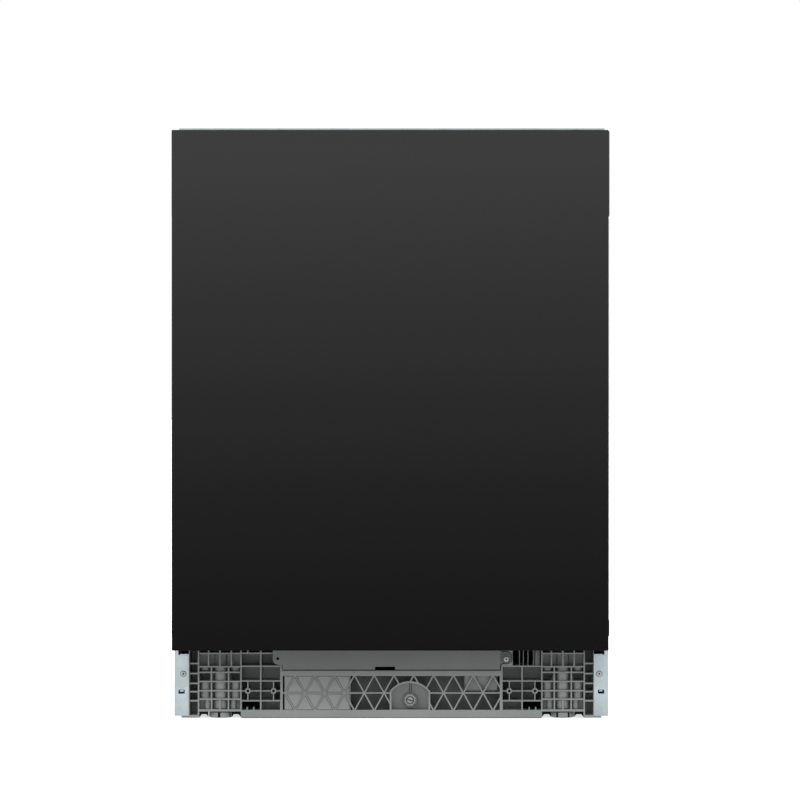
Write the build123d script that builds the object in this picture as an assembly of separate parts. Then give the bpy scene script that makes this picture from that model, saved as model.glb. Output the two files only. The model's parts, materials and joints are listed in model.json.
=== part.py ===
from build123d import *
import os
from math import cos, pi, radians, sqrt, tan

# Fully integrated dishwasher. X runs left to right, the front faces -Y and Z is up.
# The origin is the middle of the floor area that the machine covers. All sizes in mm.

# Overall body and fits
body_width = 598.0
body_height = 815.0
total_depth = 570.0
seat = 0.3                  # gap between pieces that are fastened together
play = 0.5                  # gap beside pieces that slide or turn
running = 0.05              # radial clearance of a pin in its eye
flats = 8                   # sides of light round parts
half_width = body_width / 2
front = -total_depth / 2
back = total_depth / 2

# Front panel
panel_half = half_width - 2.0
panel_thickness = 16.0
panel_bottom = 98.0
panel_top = body_height - 9.0
panel_edge = 1.0
panel_back = front + panel_thickness

# Door
door_thickness = 50.0
hinge_height = 110.0
hinge_setback = 35.0        # hinge axis behind the panel's front face
door_skin = 1.2
door_flange_depth = 41.0
door_strip_bottom = 139.0
door_strip_notch = 264.0
console_foot = panel_top - 119.0
console_wall = 2.5
liner_half = half_width - 7.8
liner_crown = 5.0
liner_field_half = liner_half - 51.2
hinge_y = front + hinge_setback
hinge_pin_radius = 4.0
hinge_arm_radius = 12.0
hinge_arm_thickness = 3.0
hinge_arm_height = 190.0
spring_hook_rise = 32.0
spring_hook_reach = 38.0
spring_radius = 4.5
door_back = panel_back + door_thickness
pan_front = panel_back + seat
board = pan_front + door_skin

# Base
grille = front + 55.0       # front plane of the base
base_top = 95.0
base_half = half_width - 19.8
rib_depth = 30.0
shallow_depth = 14.0
rib_wall = 2.0
base_back_wall = 2.0
foot_x = base_half - 42.8
foot_y = grille + 18.0
foot_disc_radius = 16.5
foot_disc_height = 8.0
foot_stem_radius = 5.0
foot_housing_radius = 10.5
adjuster_x = 25.6
adjuster_height = 24.4
adjuster_head_radius = 8.0
adjuster_rod_radius = 3.5
tray_back = back - 22.0     # rear wall of the tray, in front of the connectors' ends
rear_foot_y = back - 45.0
tray_floor = 12.0
tray_rib_top = 16.0
tray_sill_top = 64.0
boss_height = 37.5
boss_radius = 4.2
boss_hole_radius = 2.0
truss_low = 10.3
truss_high = 59.2
truss_pitch = 27.3
truss_depth = 10.0
truss_bar = 1.9
truss_closed_to = -57.6
truss_groove = 0.7
crossbar_low = 66.3
crossbar_thickness = 3.2
ear_screw_height = 81.5

# Lines of the rib lattice, measured from the foot's axis
lattice_in = foot_x - 28.9
lattice_out = foot_x + 29.6
boss_outer_x = foot_x - 38.4
block_middle = foot_x - 56.2
boss_inner_x = foot_x - 73.8
ear_screw_x = foot_x - 78.0
block_in = foot_x - 83.9
truss_half = foot_x - 85.4

# Side frames
frame_inside = half_width - 4.0
frame_sheet = 2.0
frame_post_depth = 42.0
bracket_low = 3.4
bracket_high = 88.7
bracket_screw_x = half_width - 12.4
bracket_screw_height = 61.5
spring_anchor_y = grille + 140.0

# Tub
tub_half = half_width - 23.0
tub_top = body_height - 39.0
tub_low = 118.0
tub_wall = 1.2
tub_inside = tub_half - tub_wall
tub_back = back - 27.0
tub_corner = 26.0
tub_flange = 12.0
ledge_height = 141.0
gasket_depth = 4.7
tub_mouth = door_back + gasket_depth + seat
floor_low = 121.0
floor_sheet = 2.0
mat_thickness = 3.0
mat_front = tub_mouth + 54.0
mat_back = tub_back - 18.0
bead_rise = 2.5

# Wash system
arm_centre_y = (tub_mouth + tub_back) / 2
sump_half_x = 95.0
sump_half_y = 110.0
sump_middle_y = arm_centre_y - 32.0
sump_wall = 2.5
sump_bottom = 42.0
lower_arm_height = 163.0
lower_arm_radius = tub_inside - 56.8
upper_arm_height = 466.0
upper_arm_radius = tub_inside - 69.8
arm_stem_radius = 9.5
arm_hub_drop = 6.0
filter_y = arm_centre_y - 74.0
filter_radius = 42.0
salt_x = 126.0 - tub_half
salt_y = tub_mouth + 119.0
salt_cap_radius = 36.0
connector_height = 60.0
inlet_x = -200.0
inlet_radius = 13.2
inlet_length = 14.0
drain_x = -120.0
drain_radius = 10.0
mains_x = 200.0
gland_radius = 8.5

# Racks
wire = 4.0
lower_rack_floor = 200.0
lower_rack_rim = 330.0
upper_rack_floor = 512.0
upper_rack_rim = 640.0
rack_front = tub_mouth + 19.0
rack_back = tub_back - 26.0
lower_rack_half = tub_inside - 28.8
upper_rack_half = tub_inside - 34.8
wheel_radius = 20.0
wheel_width = 10.0
wheel_x = lower_rack_half + 15.0
wheel_front_y = rack_front + 45.0
wheel_back_y = rack_back - 42.0
tine_height = 58.0
tine_row_x = lower_rack_half - 126.0
basket_right = lower_rack_half - 24.0
basket_length = 160.0
basket_depth = 70.0
basket_height = 112.0
rail_height = upper_rack_floor + 63.0
rail_depth = 30.0
runner_plate = 7.0
dock_height = upper_rack_floor - 14.0

# Controls, latch and dispenser
button_count = 5
button_first = 69.0 - half_width
button_pitch = 30.0
button_length = 18.0
button_width = 11.0
button_y = front + 40.0
button_proud = 0.8
display_half = 40.0
display_depth = 16.0
board_y = front + 40.0
striker_height = body_height - 17.0
dispenser_left = -72.0
dispenser_right = 112.0
dispenser_low = 400.0
dispenser_high = 520.0
dispenser_depth = 34.0
dispenser_face = door_back + liner_crown + 3.0
chamber_depth = 24.0
rinse_x = 88.0
rinse_height = 440.0
rinse_radius = 12.0


# A box from its low and high ends along each axis
def block(x, y, z):
    size = Box(x[1] - x[0], y[1] - y[0], z[1] - z[0])
    return Pos((x[0] + x[1]) / 2, (y[0] + y[1]) / 2, (z[0] + z[1]) / 2) * size


# A face drawn in X and Z, given a depth along Y
def from_front(sketch, y0, y1):
    return extrude(Plane.XZ.offset(-y1) * sketch, amount=y1 - y0)


# A face drawn in Y and Z, given a width along X
def from_side(sketch, x0, x1):
    return extrude(Plane.YZ.offset(x0) * sketch, amount=x1 - x0)


# A face drawn in X and Y, given a height along Z
def from_above(sketch, z0, z1):
    return extrude(Plane.XY.offset(z0) * sketch, amount=z1 - z0)


def rect(u0, u1, v0, v1):
    return Pos((u0 + u1) / 2, (v0 + v1) / 2) * Rectangle(u1 - u0, v1 - v0)


# A rectangle whose corners are rounded in two flats each
def round_rect(u0, u1, v0, v1, radius):
    near = radius * (1 - cos(pi / 4))
    corner = ((0, radius), (near, near), (radius, 0))
    points = [(u0 + du, v0 + dv) for du, dv in corner]
    points += [(u1 - du, v0 + dv) for du, dv in reversed(corner)]
    points += [(u1 - du, v1 - dv) for du, dv in corner]
    points += [(u0 + du, v1 - dv) for du, dv in reversed(corner)]
    return polygon(*points)


def polygon(*points):
    return make_face(Polyline(*points, close=True))


# A light round part, drawn with flats
def disc(u, v, radius):
    return Pos(u, v) * RegularPolygon(radius, flats)


# The radius of a hole with flats in which a rod of the given radius can turn
def turning_hole(radius):
    return (radius + running) / cos(pi / flats)


def true_disc(u, v, radius):
    return Pos(u, v) * Circle(radius)


def rod_x(x0, x1, y, z, radius):
    return from_side(disc(y, z, radius), x0, x1)


def rod_y(x, y0, y1, z, radius):
    return from_front(disc(x, z, radius), y0, y1)


def rod_z(x, y, z0, z1, radius):
    return from_above(disc(x, y, radius), z0, z1)


# Turned pins and bores, truly round
def turned_x(x0, x1, y, z, radius):
    return from_side(true_disc(y, z, radius), x0, x1)


def turned_y(x, y0, y1, z, radius):
    return from_front(true_disc(x, z, radius), y0, y1)


def turned_z(x, y, z0, z1, radius):
    return from_above(true_disc(x, y, radius), z0, z1)


def both_sides(shape):
    return [shape, mirror(shape, about=Plane.YZ)]


# A group of solids that stay separate pieces of one node
def group(*shapes):
    solids = []
    for shape in shapes:
        solids += shape.solids()
    return Compound(children=solids)


# A triangle whose sides are moved in by a distance, scaled about its incentre
def inset_triangle(a, b, c, distance):
    side_a = sqrt((b[0] - c[0]) ** 2 + (b[1] - c[1]) ** 2)
    side_b = sqrt((a[0] - c[0]) ** 2 + (a[1] - c[1]) ** 2)
    side_c = sqrt((a[0] - b[0]) ** 2 + (a[1] - b[1]) ** 2)
    total = side_a + side_b + side_c
    centre_u = (side_a * a[0] + side_b * b[0] + side_c * c[0]) / total
    centre_v = (side_a * a[1] + side_b * b[1] + side_c * c[1]) / total
    area = abs((b[0] - a[0]) * (c[1] - a[1]) - (c[0] - a[0]) * (b[1] - a[1])) / 2
    inradius = 2 * area / total
    share = (inradius - distance) / inradius
    corners = []
    for u, v in (a, b, c):
        corners.append((centre_u + (u - centre_u) * share, centre_v + (v - centre_v) * share))
    return polygon(*corners)


# The rectangles left between ribs drawn at the given lines
def cells(us, vs, rib):
    found = []
    for u0, u1 in zip(us, us[1:]):
        for v0, v1 in zip(vs, vs[1:]):
            found.append(rect(u0 + rib / 2, u1 - rib / 2, v0 + rib / 2, v1 - rib / 2))
    return found


# Triangles between the bars of the truss grille, drawn in by a distance and cut off at its ends
def truss_triangles(inset):
    middle = (truss_low + truss_high) / 2
    left_end = 4.5 - truss_half
    right_end = truss_half - 1.5
    count = int((right_end - left_end) / truss_pitch)
    found = []
    for level in (truss_low, truss_high):
        for index in range(-1, count + 1):
            left = left_end + index * truss_pitch
            right = left + truss_pitch
            apex = left + truss_pitch / 2
            if index >= 0:
                corners = ((left, middle), (right, middle), (apex, level))
                found.append(inset_triangle(*corners, inset))
            corners = ((apex, level), (apex + truss_pitch, level), (right, middle))
            found.append(inset_triangle(*corners, inset))
    return Sketch(children=found) & rect(left_end, right_end, 0, base_top)


# Outline of the arch window round the rear foot's adjuster
def arch(wall):
    half = 25.5 + wall
    spring_line = 37.0
    straight = rect(adjuster_x - half, adjuster_x + half, truss_low + 1.5 - wall, spring_line)
    crown = make_face(
        Line((adjuster_x + half, spring_line), (adjuster_x - half, spring_line))
        + ThreePointArc(
            (adjuster_x - half, spring_line),
            (adjuster_x, spring_line + 11.5 + wall),
            (adjuster_x + half, spring_line),
        )
    )
    return straight + crown


# Rib lattice of one side, sunk deep: beside the bracket, over the foot and round the bosses
def deep_pockets(louvred):
    open_top = base_top + rib_wall
    levels = (bracket_low, 24.0, 36.5, 48.0, 61.5, 75.4, open_top)
    pockets = cells((lattice_out, base_half), levels, rib_wall)
    row_upper = (lattice_in, foot_x - 15.7, foot_x, foot_x + 15.7, lattice_out)
    pockets += cells(row_upper, (89.2, open_top), rib_wall)
    row_middle = (lattice_in, foot_x - 11.8, foot_x + 11.8, lattice_out)
    pockets += cells(row_middle, (50.6, 63.2, 71.0), rib_wall)
    columns = (block_in, block_middle, lattice_in)
    pockets += cells(columns, (51.2, 71.6), rib_wall)
    if not louvred:
        pockets += cells(columns, (71.6, 89.5), rib_wall)
        pockets += cells((block_in, block_middle, boss_outer_x, lattice_in), (89.5, open_top), rib_wall)
    pockets += cells((block_in, boss_inner_x, block_middle), (24.1, boss_height, 51.2), rib_wall * 0.7)
    pockets += cells((block_middle, boss_outer_x, lattice_in), (24.1, boss_height, 51.2), rib_wall * 0.7)
    pockets += cells((block_in, block_middle), (truss_low, 24.1), rib_wall)
    return pockets


# Pockets in front of the foot's housing, whose floors lie nearer
def shallow_pockets():
    row_top = (lattice_in, foot_x - 15.7, foot_x, foot_x + 15.7, lattice_out)
    pockets = cells(row_top, (71.0, 89.2), rib_wall)
    row_middle = (lattice_in, foot_x - 11.8, foot_x + 11.8, lattice_out)
    pockets += cells(row_middle, (26.2, 37.8, 50.6), rib_wall)
    row_bottom = (lattice_in, foot_x - 11.6, foot_x, foot_x + 11.6, lattice_out)
    pockets += cells(row_bottom, (11.2, 26.2), rib_wall)
    return pockets


# Openings of one side that go right through: beside the bosses and the low toothed one
def lattice_windows():
    windows = cells((block_in, boss_inner_x), (24.1, boss_height, 51.2), rib_wall * 1.4)
    windows += cells((boss_outer_x, lattice_in), (24.1, boss_height, 51.2), rib_wall * 1.4)
    tooth_slot = rect(block_middle + 1.0, lattice_in - 1.0, 11.3, 23.1)
    for place in (block_middle + 9.8, block_middle + 18.8):
        tooth_slot -= rect(place - 0.8, place + 0.8, 11.3, 15.0)
    windows.append(tooth_slot)
    return windows


# Outline of one side block, with the notch over the foot and the pad under the bracket
def side_outline():
    pad_end = base_half + 10.0
    return polygon(
        (truss_half, 1.0),
        (lattice_in, 1.0),
        (lattice_in + 4.0, 9.2),
        (lattice_out - 5.0, 9.2),
        (lattice_out - 1.0, 0.8),
        (pad_end, 0.8),
        (pad_end, bracket_low - seat),
        (base_half, bracket_low - seat),
        (base_half, base_top),
        (truss_half, base_top),
    )


def base_side(louvred):
    deep = grille + rib_depth
    through = deep + base_back_wall + 1
    body = from_front(side_outline(), grille, deep + base_back_wall)
    body -= from_front(Sketch(children=deep_pockets(louvred)), grille - 1, deep)
    body -= from_front(Sketch(children=shallow_pockets()), grille - 1, grille + shallow_depth)
    body -= from_front(Sketch(children=lattice_windows()), grille - 1, through)
    body += rod_z(foot_x, foot_y, 10.2, 90.0, foot_housing_radius)
    for side in (-1, 1):
        body += rod_z(foot_x + side * 17.5, grille + 12, 10.2, 26.2, 4.5)
    for place in (boss_inner_x, boss_outer_x):
        body += rod_y(place, grille, deep, boss_height, boss_radius)
        body -= turned_y(place, grille - 1, deep - 6, boss_height, boss_hole_radius)
    if louvred:
        body -= block((ear_screw_x + 9.0, lattice_in - 1.0), (grille - 1, through), (72.6, base_top + 1))
        for place in (block_middle - 3.6, block_middle + 1.8, block_middle + 8.2, block_middle + 15.6):
            body += block((place - 0.5, place + 0.5), (grille + 1, grille + 12), (72.0, base_top))
        body += rod_z(block_middle + 20.9, grille + 8, 72.0, base_top, 5.0)
    return body - rod_z(foot_x, foot_y, 0, base_top + 1, foot_stem_radius + seat)


def base_middle():
    thin = grille + truss_depth
    panel = from_front(rect(-truss_half, truss_half, 1.0, base_top), grille, thin)
    frame_wall = arch(2.5)
    bars = truss_triangles(truss_bar / 2)
    opened = bars - rect(-truss_half, truss_closed_to + 1, 0, base_top) - frame_wall
    panel -= from_front(opened, grille - 1, thin + 1)
    closed_end = rect(-truss_half, truss_closed_to, 0, base_top)
    panel -= from_front(bars & closed_end, grille - 1, grille + 3)
    fields = truss_triangles(truss_bar / 2 + truss_groove)
    fields &= rect(-truss_half, truss_closed_to - truss_groove, 0, base_top)
    panel += from_front(fields, grille, grille + 4)
    middle = (truss_low + truss_high) / 2
    for low, high in ((truss_low + 1, middle - 1), (middle + 1, truss_high - 1)):
        panel -= from_front(rect(1.1 - truss_half, 3.8 - truss_half, low, high), grille - 1, thin + 1)
    panel += from_front(frame_wall, grille, thin + 6)
    panel -= from_front(arch(0), grille - 1, thin + 4)
    panel += rod_y(adjuster_x, grille + 4, thin + 5, adjuster_height, 10.6)
    panel -= rod_y(adjuster_x, grille + 3, thin + 7, adjuster_height, turning_hole(adjuster_head_radius))
    for side in (-1.3, 1.3):
        groove = rect(adjuster_x + side - 0.35, adjuster_x + side + 0.35, 11.8, 48.0)
        panel -= from_front(groove - disc(adjuster_x, adjuster_height, 11.6), thin + 2, thin + 5)
    edge = crossbar_low - 0.7
    panel -= block((-truss_half, truss_half), (thin - 3, thin + 1), (crossbar_low, base_top + 1))
    panel -= block((-truss_half, truss_half), (grille - 1, grille + 4), (edge, edge + 1.2))
    panel -= block((-22.6, 5.2), (grille - 1, thin + 1), (edge, crossbar_low + 5))
    lip = block((-truss_half, truss_half), (thin - 1, grille + rib_depth), (truss_low - 2.3, truss_low))
    return panel + lip


# Whole front moulding, with the screw ear in the louvred right side
def base_front():
    moulding = base_middle() + base_side(True) + mirror(base_side(False), about=Plane.YZ)
    deep = grille + rib_depth
    x = ear_screw_x
    ring = disc(x, ear_screw_height, 6.2) - disc(x, ear_screw_height, 5.3)
    moulding += from_front(round_rect(truss_half + 1, x + 7.6, 73.0, 94.0, 6), grille, deep)
    moulding -= from_front(ring, grille - 1, grille + 1.5)
    moulding -= rod_y(-x + 1.7, grille - 1, grille + 24, ear_screw_height + 1.1, 2.0)
    return moulding - rod_y(x, grille - 1, deep - 4, ear_screw_height, 1.8)


# Tray that carries the wash system, with its rear wall and the rear foot's boss
def base_tray():
    y0 = grille + rib_depth + base_back_wall + seat
    wall_x = frame_inside - seat
    outer = block((-wall_x, wall_x), (y0, tray_back), (9.0, tub_low - 1.5))
    inner = block((-wall_x + 3, wall_x - 3), (y0 - 1, tray_back - 3), (tray_floor, tub_low))
    tray = outer - inner
    tray += block((-wall_x, wall_x), (y0, y0 + 3), (9.0, tray_sill_top))
    tray += block((truss_half - 51, truss_half - 6), (y0 - 14, y0 + 1), (36.5, tray_sill_top))
    for place in (-180.0, -60.0, 60.0, 180.0):
        tray += block((place - 1.5, place + 1.5), (y0, tray_back - 1), (11.0, tray_rib_top))
    boss = rod_z(adjuster_x, rear_foot_y, 10.0, 76.0, 12.0)
    tray += boss
    tray -= rod_z(adjuster_x, rear_foot_y, 8.0, 78.0, foot_stem_radius + seat)
    tray -= rod_y(adjuster_x, y0 - 1, rear_foot_y - 6, adjuster_height, adjuster_rod_radius + play)
    for place, radius in ((inlet_x, 19.0), (drain_x, 18.0), (mains_x, turning_hole(gland_radius + seat))):
        tray -= rod_y(place, tray_back - 4, tray_back + 1, connector_height, radius)
    return tray


# Strip above the grille, with an ear at its left end and a notch in its lower edge
def toe_crossbar():
    y1 = grille - seat
    end = truss_half - 1.1
    plate = rect(-end, end, crossbar_low, base_top)
    ear = round_rect(-end - 13.6, 10 - end, 73.8, base_top + 6, 7)
    ear -= rect(-end - 20, 20 - end, base_top, base_top + 10)
    notch = rect(-22.6, 5.2, crossbar_low - 1, crossbar_low + 5)
    sketch = plate + ear - notch - disc(-end - 6.7, 82.6, 2.0)
    return from_front(sketch, y1 - crossbar_thickness, y1)


# Sheet steel upright with the hinge ear, the pin and the front flange seen beside the base
def side_frame():
    post_front = tub_mouth
    ear_top = hinge_height + hinge_arm_radius
    rear = grille + 350.0
    outline = polygon(
        (grille, bracket_low + 6),
        (rear, bracket_low + 6),
        (rear, 150.0),
        (grille + 110.0, 150.0),
        (post_front + frame_post_depth, 210.0),
        (post_front + frame_post_depth, body_height - 4),
        (post_front, body_height - 4),
        (post_front, ear_top),
        (hinge_y, ear_top),
        (hinge_y, panel_bottom),
        (grille, panel_bottom),
    )
    outline += disc(hinge_y, hinge_height, hinge_arm_radius)
    outline -= round_rect(grille + 50, grille + 190, 60, 110, 8)
    outline -= round_rect(rear - 120, rear - 30, 60, 120, 8)
    plate = from_side(outline, frame_inside, frame_inside + frame_sheet)
    flange = rect(base_half, half_width, bracket_low, bracket_high)
    flange += rect(half_width - 5.4, half_width, bracket_high - 1, panel_bottom - 1)
    flange -= disc(half_width - 5.4 - 1.4, bracket_high, 1.4)
    flange -= round_rect(bracket_screw_x - 1.8, bracket_screw_x + 6.8, 34.0, 39.6, 0.8)
    flange -= disc(bracket_screw_x, bracket_screw_height, 2.2)
    plate += from_front(flange, grille - frame_sheet, grille + 0.2)
    plate += turned_x(frame_inside - 3.4, frame_inside + 1, hinge_y, hinge_height, hinge_pin_radius)
    hook_depth = (spring_anchor_y, spring_anchor_y + 3)
    anchor = block((frame_inside - 12, frame_inside + 1), hook_depth, (136.0, 148.0))
    return plate + anchor


def front_screws():
    screws = []
    for side in (-1, 1):
        y = grille - frame_sheet - seat
        screws.append(pan_screw(side * bracket_screw_x, y, bracket_screw_height, 1.9))
    screws.append(pan_screw(ear_screw_x, grille - seat, ear_screw_height, 1.5))
    return group(*screws)


# Low head on its shank
def pan_screw(x, y, z, shank):
    head = rod_y(x, y - 2.2, y, z, 3.5)
    head = chamfer(head.edges().group_by(Axis.Y)[0], 0.8)
    return head + rod_y(x, y - 0.1, y + 6, z, shank)


# Foot with a slotted disc and a stem, drawn at its own axis
def foot(x, y, stem_top):
    pad = from_above(Pos(x, y) * RegularPolygon(foot_disc_radius, 2 * flats), 0, foot_disc_height)
    for turn in (0, 90, 180, 270):
        slot = Pos(x, y, 4.5) * Rot(0, 0, turn) * Pos(0, foot_disc_radius - 1, 0)
        pad -= slot * Box(2.2, 4.0, 6)
    return pad + rod_z(x, y, foot_disc_height - 1, stem_top, foot_stem_radius)


def ring_z(x, y, z0, z1, outer, inner):
    return rod_z(x, y, z0, z1, outer) - rod_z(x, y, z0 - 1, z1 + 1, inner)


# Screw head behind the arch window on the long rod that turns the rear foot
def adjuster_screw():
    head = rod_y(adjuster_x, grille + 5, grille + 13, adjuster_height, adjuster_head_radius)
    head -= block((adjuster_x - 4.3, adjuster_x + 4.3), (grille + 4, grille + 7),
                  (adjuster_height - 0.7, adjuster_height + 0.7))
    rod_end = rear_foot_y - foot_stem_radius - 2
    shaft = rod_y(adjuster_x, grille + 12, rod_end, adjuster_height, adjuster_rod_radius)
    return head + shaft


# Stainless band that forms the tub's sides and top, with its mouth flange
def tub_band():
    outer = round_rect(-tub_half, tub_half, -200, tub_top, tub_corner)
    inner = round_rect(-tub_inside, tub_inside, -199, tub_top - tub_wall, tub_corner - tub_wall)
    below = rect(-400, 400, -300, tub_low)
    band = from_front(outer - inner - below, tub_mouth, tub_back)
    rim = round_rect(-tub_half - tub_flange, tub_half + tub_flange, -200, tub_top + tub_flange,
                     tub_corner + tub_flange)
    flange = from_front(rim - inner - below, tub_mouth, tub_mouth + tub_wall)
    band += flange
    for level in (260.0, 420.0):
        ridge = rod_y(tub_half + bead_rise - 6.0, tub_mouth + 40, tub_back - 30, level, 6.0)
        ridge &= block((tub_half - 0.6, tub_half + 3), (tub_mouth, tub_back), (level - 8, level + 8))
        for side in both_sides(ridge):
            band += side
    return band


def tub_back_panel():
    y0 = tub_back + seat
    outline = round_rect(-tub_half, tub_half, -200, tub_top, tub_corner)
    outline -= rect(-400, 400, -300, tub_low)
    panel = from_front(outline, y0, y0 + tub_wall)
    half = tub_half - 76
    high = tub_top - 76
    crown = loft_frame(-half, half, 220, high, 30, y0 + tub_wall - 0.2, 6.0)
    inner = half - tub_wall
    hollow = loft_frame(-inner, inner, 220 + tub_wall, high - tub_wall, 29, y0 - 0.1, 6.1)
    return panel + crown - hollow


# Raised field of pressed sheet: a low frustum, hollow behind
def loft_frame(u0, u1, v0, v1, radius, y, height):
    draft = height * tan(radians(35))
    wide = Plane.XZ.offset(-y) * round_rect(u0, u1, v0, v1, radius)
    narrow_face = round_rect(u0 + draft, u1 - draft, v0 + draft, v1 - draft, radius - draft / 2)
    narrow = Plane.XZ.offset(-y - height) * narrow_face
    return loft([wide, narrow], ruled=True)


# A block whose lower face is smaller than its upper face, with flat sloping sides
def hopper(wide_x, wide_y, top, narrow_x, narrow_y, bottom):
    wedge = Wedge(wide_x[1] - wide_x[0], top - bottom, wide_y[1] - wide_y[0],
                  narrow_x[0] - wide_x[0], narrow_y[0] - wide_y[0],
                  narrow_x[1] - wide_x[0], narrow_y[1] - wide_y[0],
                  align=(Align.MIN, Align.MIN, Align.MIN))
    return Pos(wide_x[0], wide_y[0], top) * Rot(-90, 0, 0) * wedge


# Floor of the tub, falling from the wheel ledges to the sump
def tub_floor():
    y0 = tub_mouth + 2
    y1 = tub_back - seat
    edge = tub_inside - seat
    dish_half = wheel_x - wheel_width / 2 - 8
    sump_x = (-sump_half_x, sump_half_x)
    sump_y = (sump_middle_y - sump_half_y, sump_middle_y + sump_half_y)
    body = block((-edge, edge), (y0, y1), (ledge_height - floor_sheet, ledge_height))
    for side in (-1, 1):
        wall = sorted((side * (edge - 2), side * edge))
        body += block(wall, (y0, y1), (tub_low, ledge_height - 1))
    for wall in ((y0, y0 + 2), (y1 - 2, y1)):
        body += block((-edge, edge), wall, (tub_low, ledge_height - 1))
    body += hopper((-dish_half - 2, dish_half + 2), (y0 + 8, y1 - 8), ledge_height - 0.2,
                   sump_x, sump_y, floor_low - floor_sheet)
    body -= hopper((-dish_half, dish_half), (y0 + 10, y1 - 10), ledge_height + 0.01,
                   sump_x, sump_y, floor_low)
    opening = round_rect(*sump_x, *sump_y, 30)
    body -= from_above(opening, 0, ledge_height + 5)
    body += rod_z(salt_x, salt_y, floor_low - 4, ledge_height - 2, salt_cap_radius - 1)
    body -= rod_z(salt_x, salt_y, floor_low - 10, ledge_height + 5, salt_cap_radius - 4)
    return body


# Seal round the tub's mouth, open at the bottom corners where the floor lip begins
def tub_gasket():
    y1 = tub_mouth - seat
    y0 = y1 - gasket_depth + seat
    outer = round_rect(-tub_half - 8, tub_half + 8, ledge_height - 14, tub_top + 8, tub_corner + 8)
    inner = round_rect(-tub_half + 2, tub_half - 2, ledge_height - 1.5, tub_top - 2, tub_corner - 2)
    inner += rect(-tub_half + 2, tub_half - 2, ledge_height - 1.5, ledge_height + tub_corner)
    return from_front(outer - inner, y0, y1)


def insulation_mats():
    inside = tub_half + bead_rise + seat
    side = block((inside, inside + mat_thickness), (mat_front, mat_back), (170, tub_top - 36))
    half = tub_half - 31
    top = block((-half, half), (mat_front, mat_back), (tub_top + seat, tub_top + seat + mat_thickness))
    return group(*both_sides(side), top)


# Steel bar over the tub's mouth, with worktop fixing holes and the door striker
def top_stabiliser():
    y0 = tub_mouth + seat + tub_wall
    low = tub_top + tub_flange + 1
    half = frame_inside - seat
    profile = polygon(
        (y0, low),
        (y0 + 2, low),
        (y0 + 2, body_height - 2),
        (y0 + 48, body_height - 2),
        (y0 + 48, body_height - 10),
        (y0 + 50, body_height - 10),
        (y0 + 50, body_height),
        (y0, body_height),
    )
    bar = from_side(profile, -half, half)
    for side in (-200.0, 200.0):
        bar -= turned_z(side, y0 + 22, body_height - 5, body_height + 1, 2.5)
    for side in (-14.0, 14.0):
        bar += rod_y(side, tub_mouth - 16, y0 + 1, striker_height, 2.5)
    bar += rod_x(-16.0, 16.0, tub_mouth - 16, striker_height, 2.5)
    return bar


# Bowl under the floor, with a collar for the filter and the lower arm's stem
def sump():
    top = floor_low - floor_sheet - seat
    y0 = sump_middle_y - sump_half_y
    y1 = sump_middle_y + sump_half_y
    mouth = round_rect(-sump_half_x - 6, sump_half_x + 6, y0 - 6, y1 + 6, 34)
    body = from_above(mouth, top - 3, top)
    draft = 25.0
    body += hopper((-sump_half_x, sump_half_x), (y0, y1), top - 1,
                   (-sump_half_x + draft, sump_half_x - draft), (y0 + draft, y1 - draft), sump_bottom)
    wall = sump_wall
    body -= hopper((-sump_half_x + wall, sump_half_x - wall), (y0 + wall, y1 - wall), top + 1,
                   (-sump_half_x + draft + wall, sump_half_x - draft - wall),
                   (y0 + draft + wall, y1 - draft - wall), sump_bottom + wall)
    hub_bottom = lower_arm_height - arm_hub_drop
    body += rod_z(0, arm_centre_y, sump_bottom + 1, hub_bottom - seat, 13.0)
    body += rod_z(0, arm_centre_y, hub_bottom - 1, lower_arm_height + 14, arm_stem_radius)
    body -= rod_z(0, arm_centre_y, sump_bottom + 6, lower_arm_height + 16, 7.0)
    return body


# Motor and volute lying behind the sump, with the suction and delivery stubs
def circulation_pump():
    y = sump_middle_y + sump_half_y + 50
    z = 66.0
    motor = rod_x(-165, -56, y, z, 38.0)
    motor = chamfer(motor.edges().group_by(Axis.X)[0], 5)
    for place in (-140.0, -90.0):
        motor += rod_x(place, place + 4, y, z, 41.0)
    volute = rod_x(-57, -16, y, z, 45.0)
    volute = chamfer(volute.edges().group_by(Axis.X)[-1], 8)
    suction = rod_x(-17, 0, y, z, 18.0)
    elbow = rod_y(-10, sump_middle_y + sump_half_y - 9.5, y + 12, z, 13.0)
    delivery = rod_z(-36, y, z + 30, tub_low - 2, 13.0)
    foot_pad = block((-140, -24), (y - 20, y + 20), (tray_rib_top + seat, z - 30))
    return motor + volute + suction + elbow + delivery + foot_pad


def drain_pump():
    x0 = sump_half_x - 7
    y = sump_middle_y + 20
    body = rod_x(x0, x0 + 60, y, 70, 24.0)
    body = chamfer(body.edges().group_by(Axis.X)[-1], 5)
    body += rod_x(x0 + 59, x0 + 84, y, 70, 18.0)
    stub = rod_y(x0 + 30, y + 20, y + 52, 78, 9.0)
    return body + stub


# Salt container of the water softener, with its filling neck
def softener():
    x0, x1 = salt_x - 112, salt_x + 42
    box = from_above(round_rect(x0, x1, salt_y - 80, salt_y + 70, 20), tray_rib_top + seat, 100)
    box = chamfer(box.edges().group_by(Axis.Z)[-1], 6)
    for place in (salt_y - 35, salt_y - 5, salt_y + 25):
        box += from_front(rect(x0 - 2, x1 + 2, 30, 84), place, place + 4)
    neck = rod_z(salt_x, salt_y, 95, ledge_height - 1, salt_cap_radius - 4 - seat)
    neck -= rod_z(salt_x, salt_y, 60, ledge_height + 2, salt_cap_radius - 8)
    return box - rod_z(salt_x, salt_y, 60, 120, salt_cap_radius - 8) + neck


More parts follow.
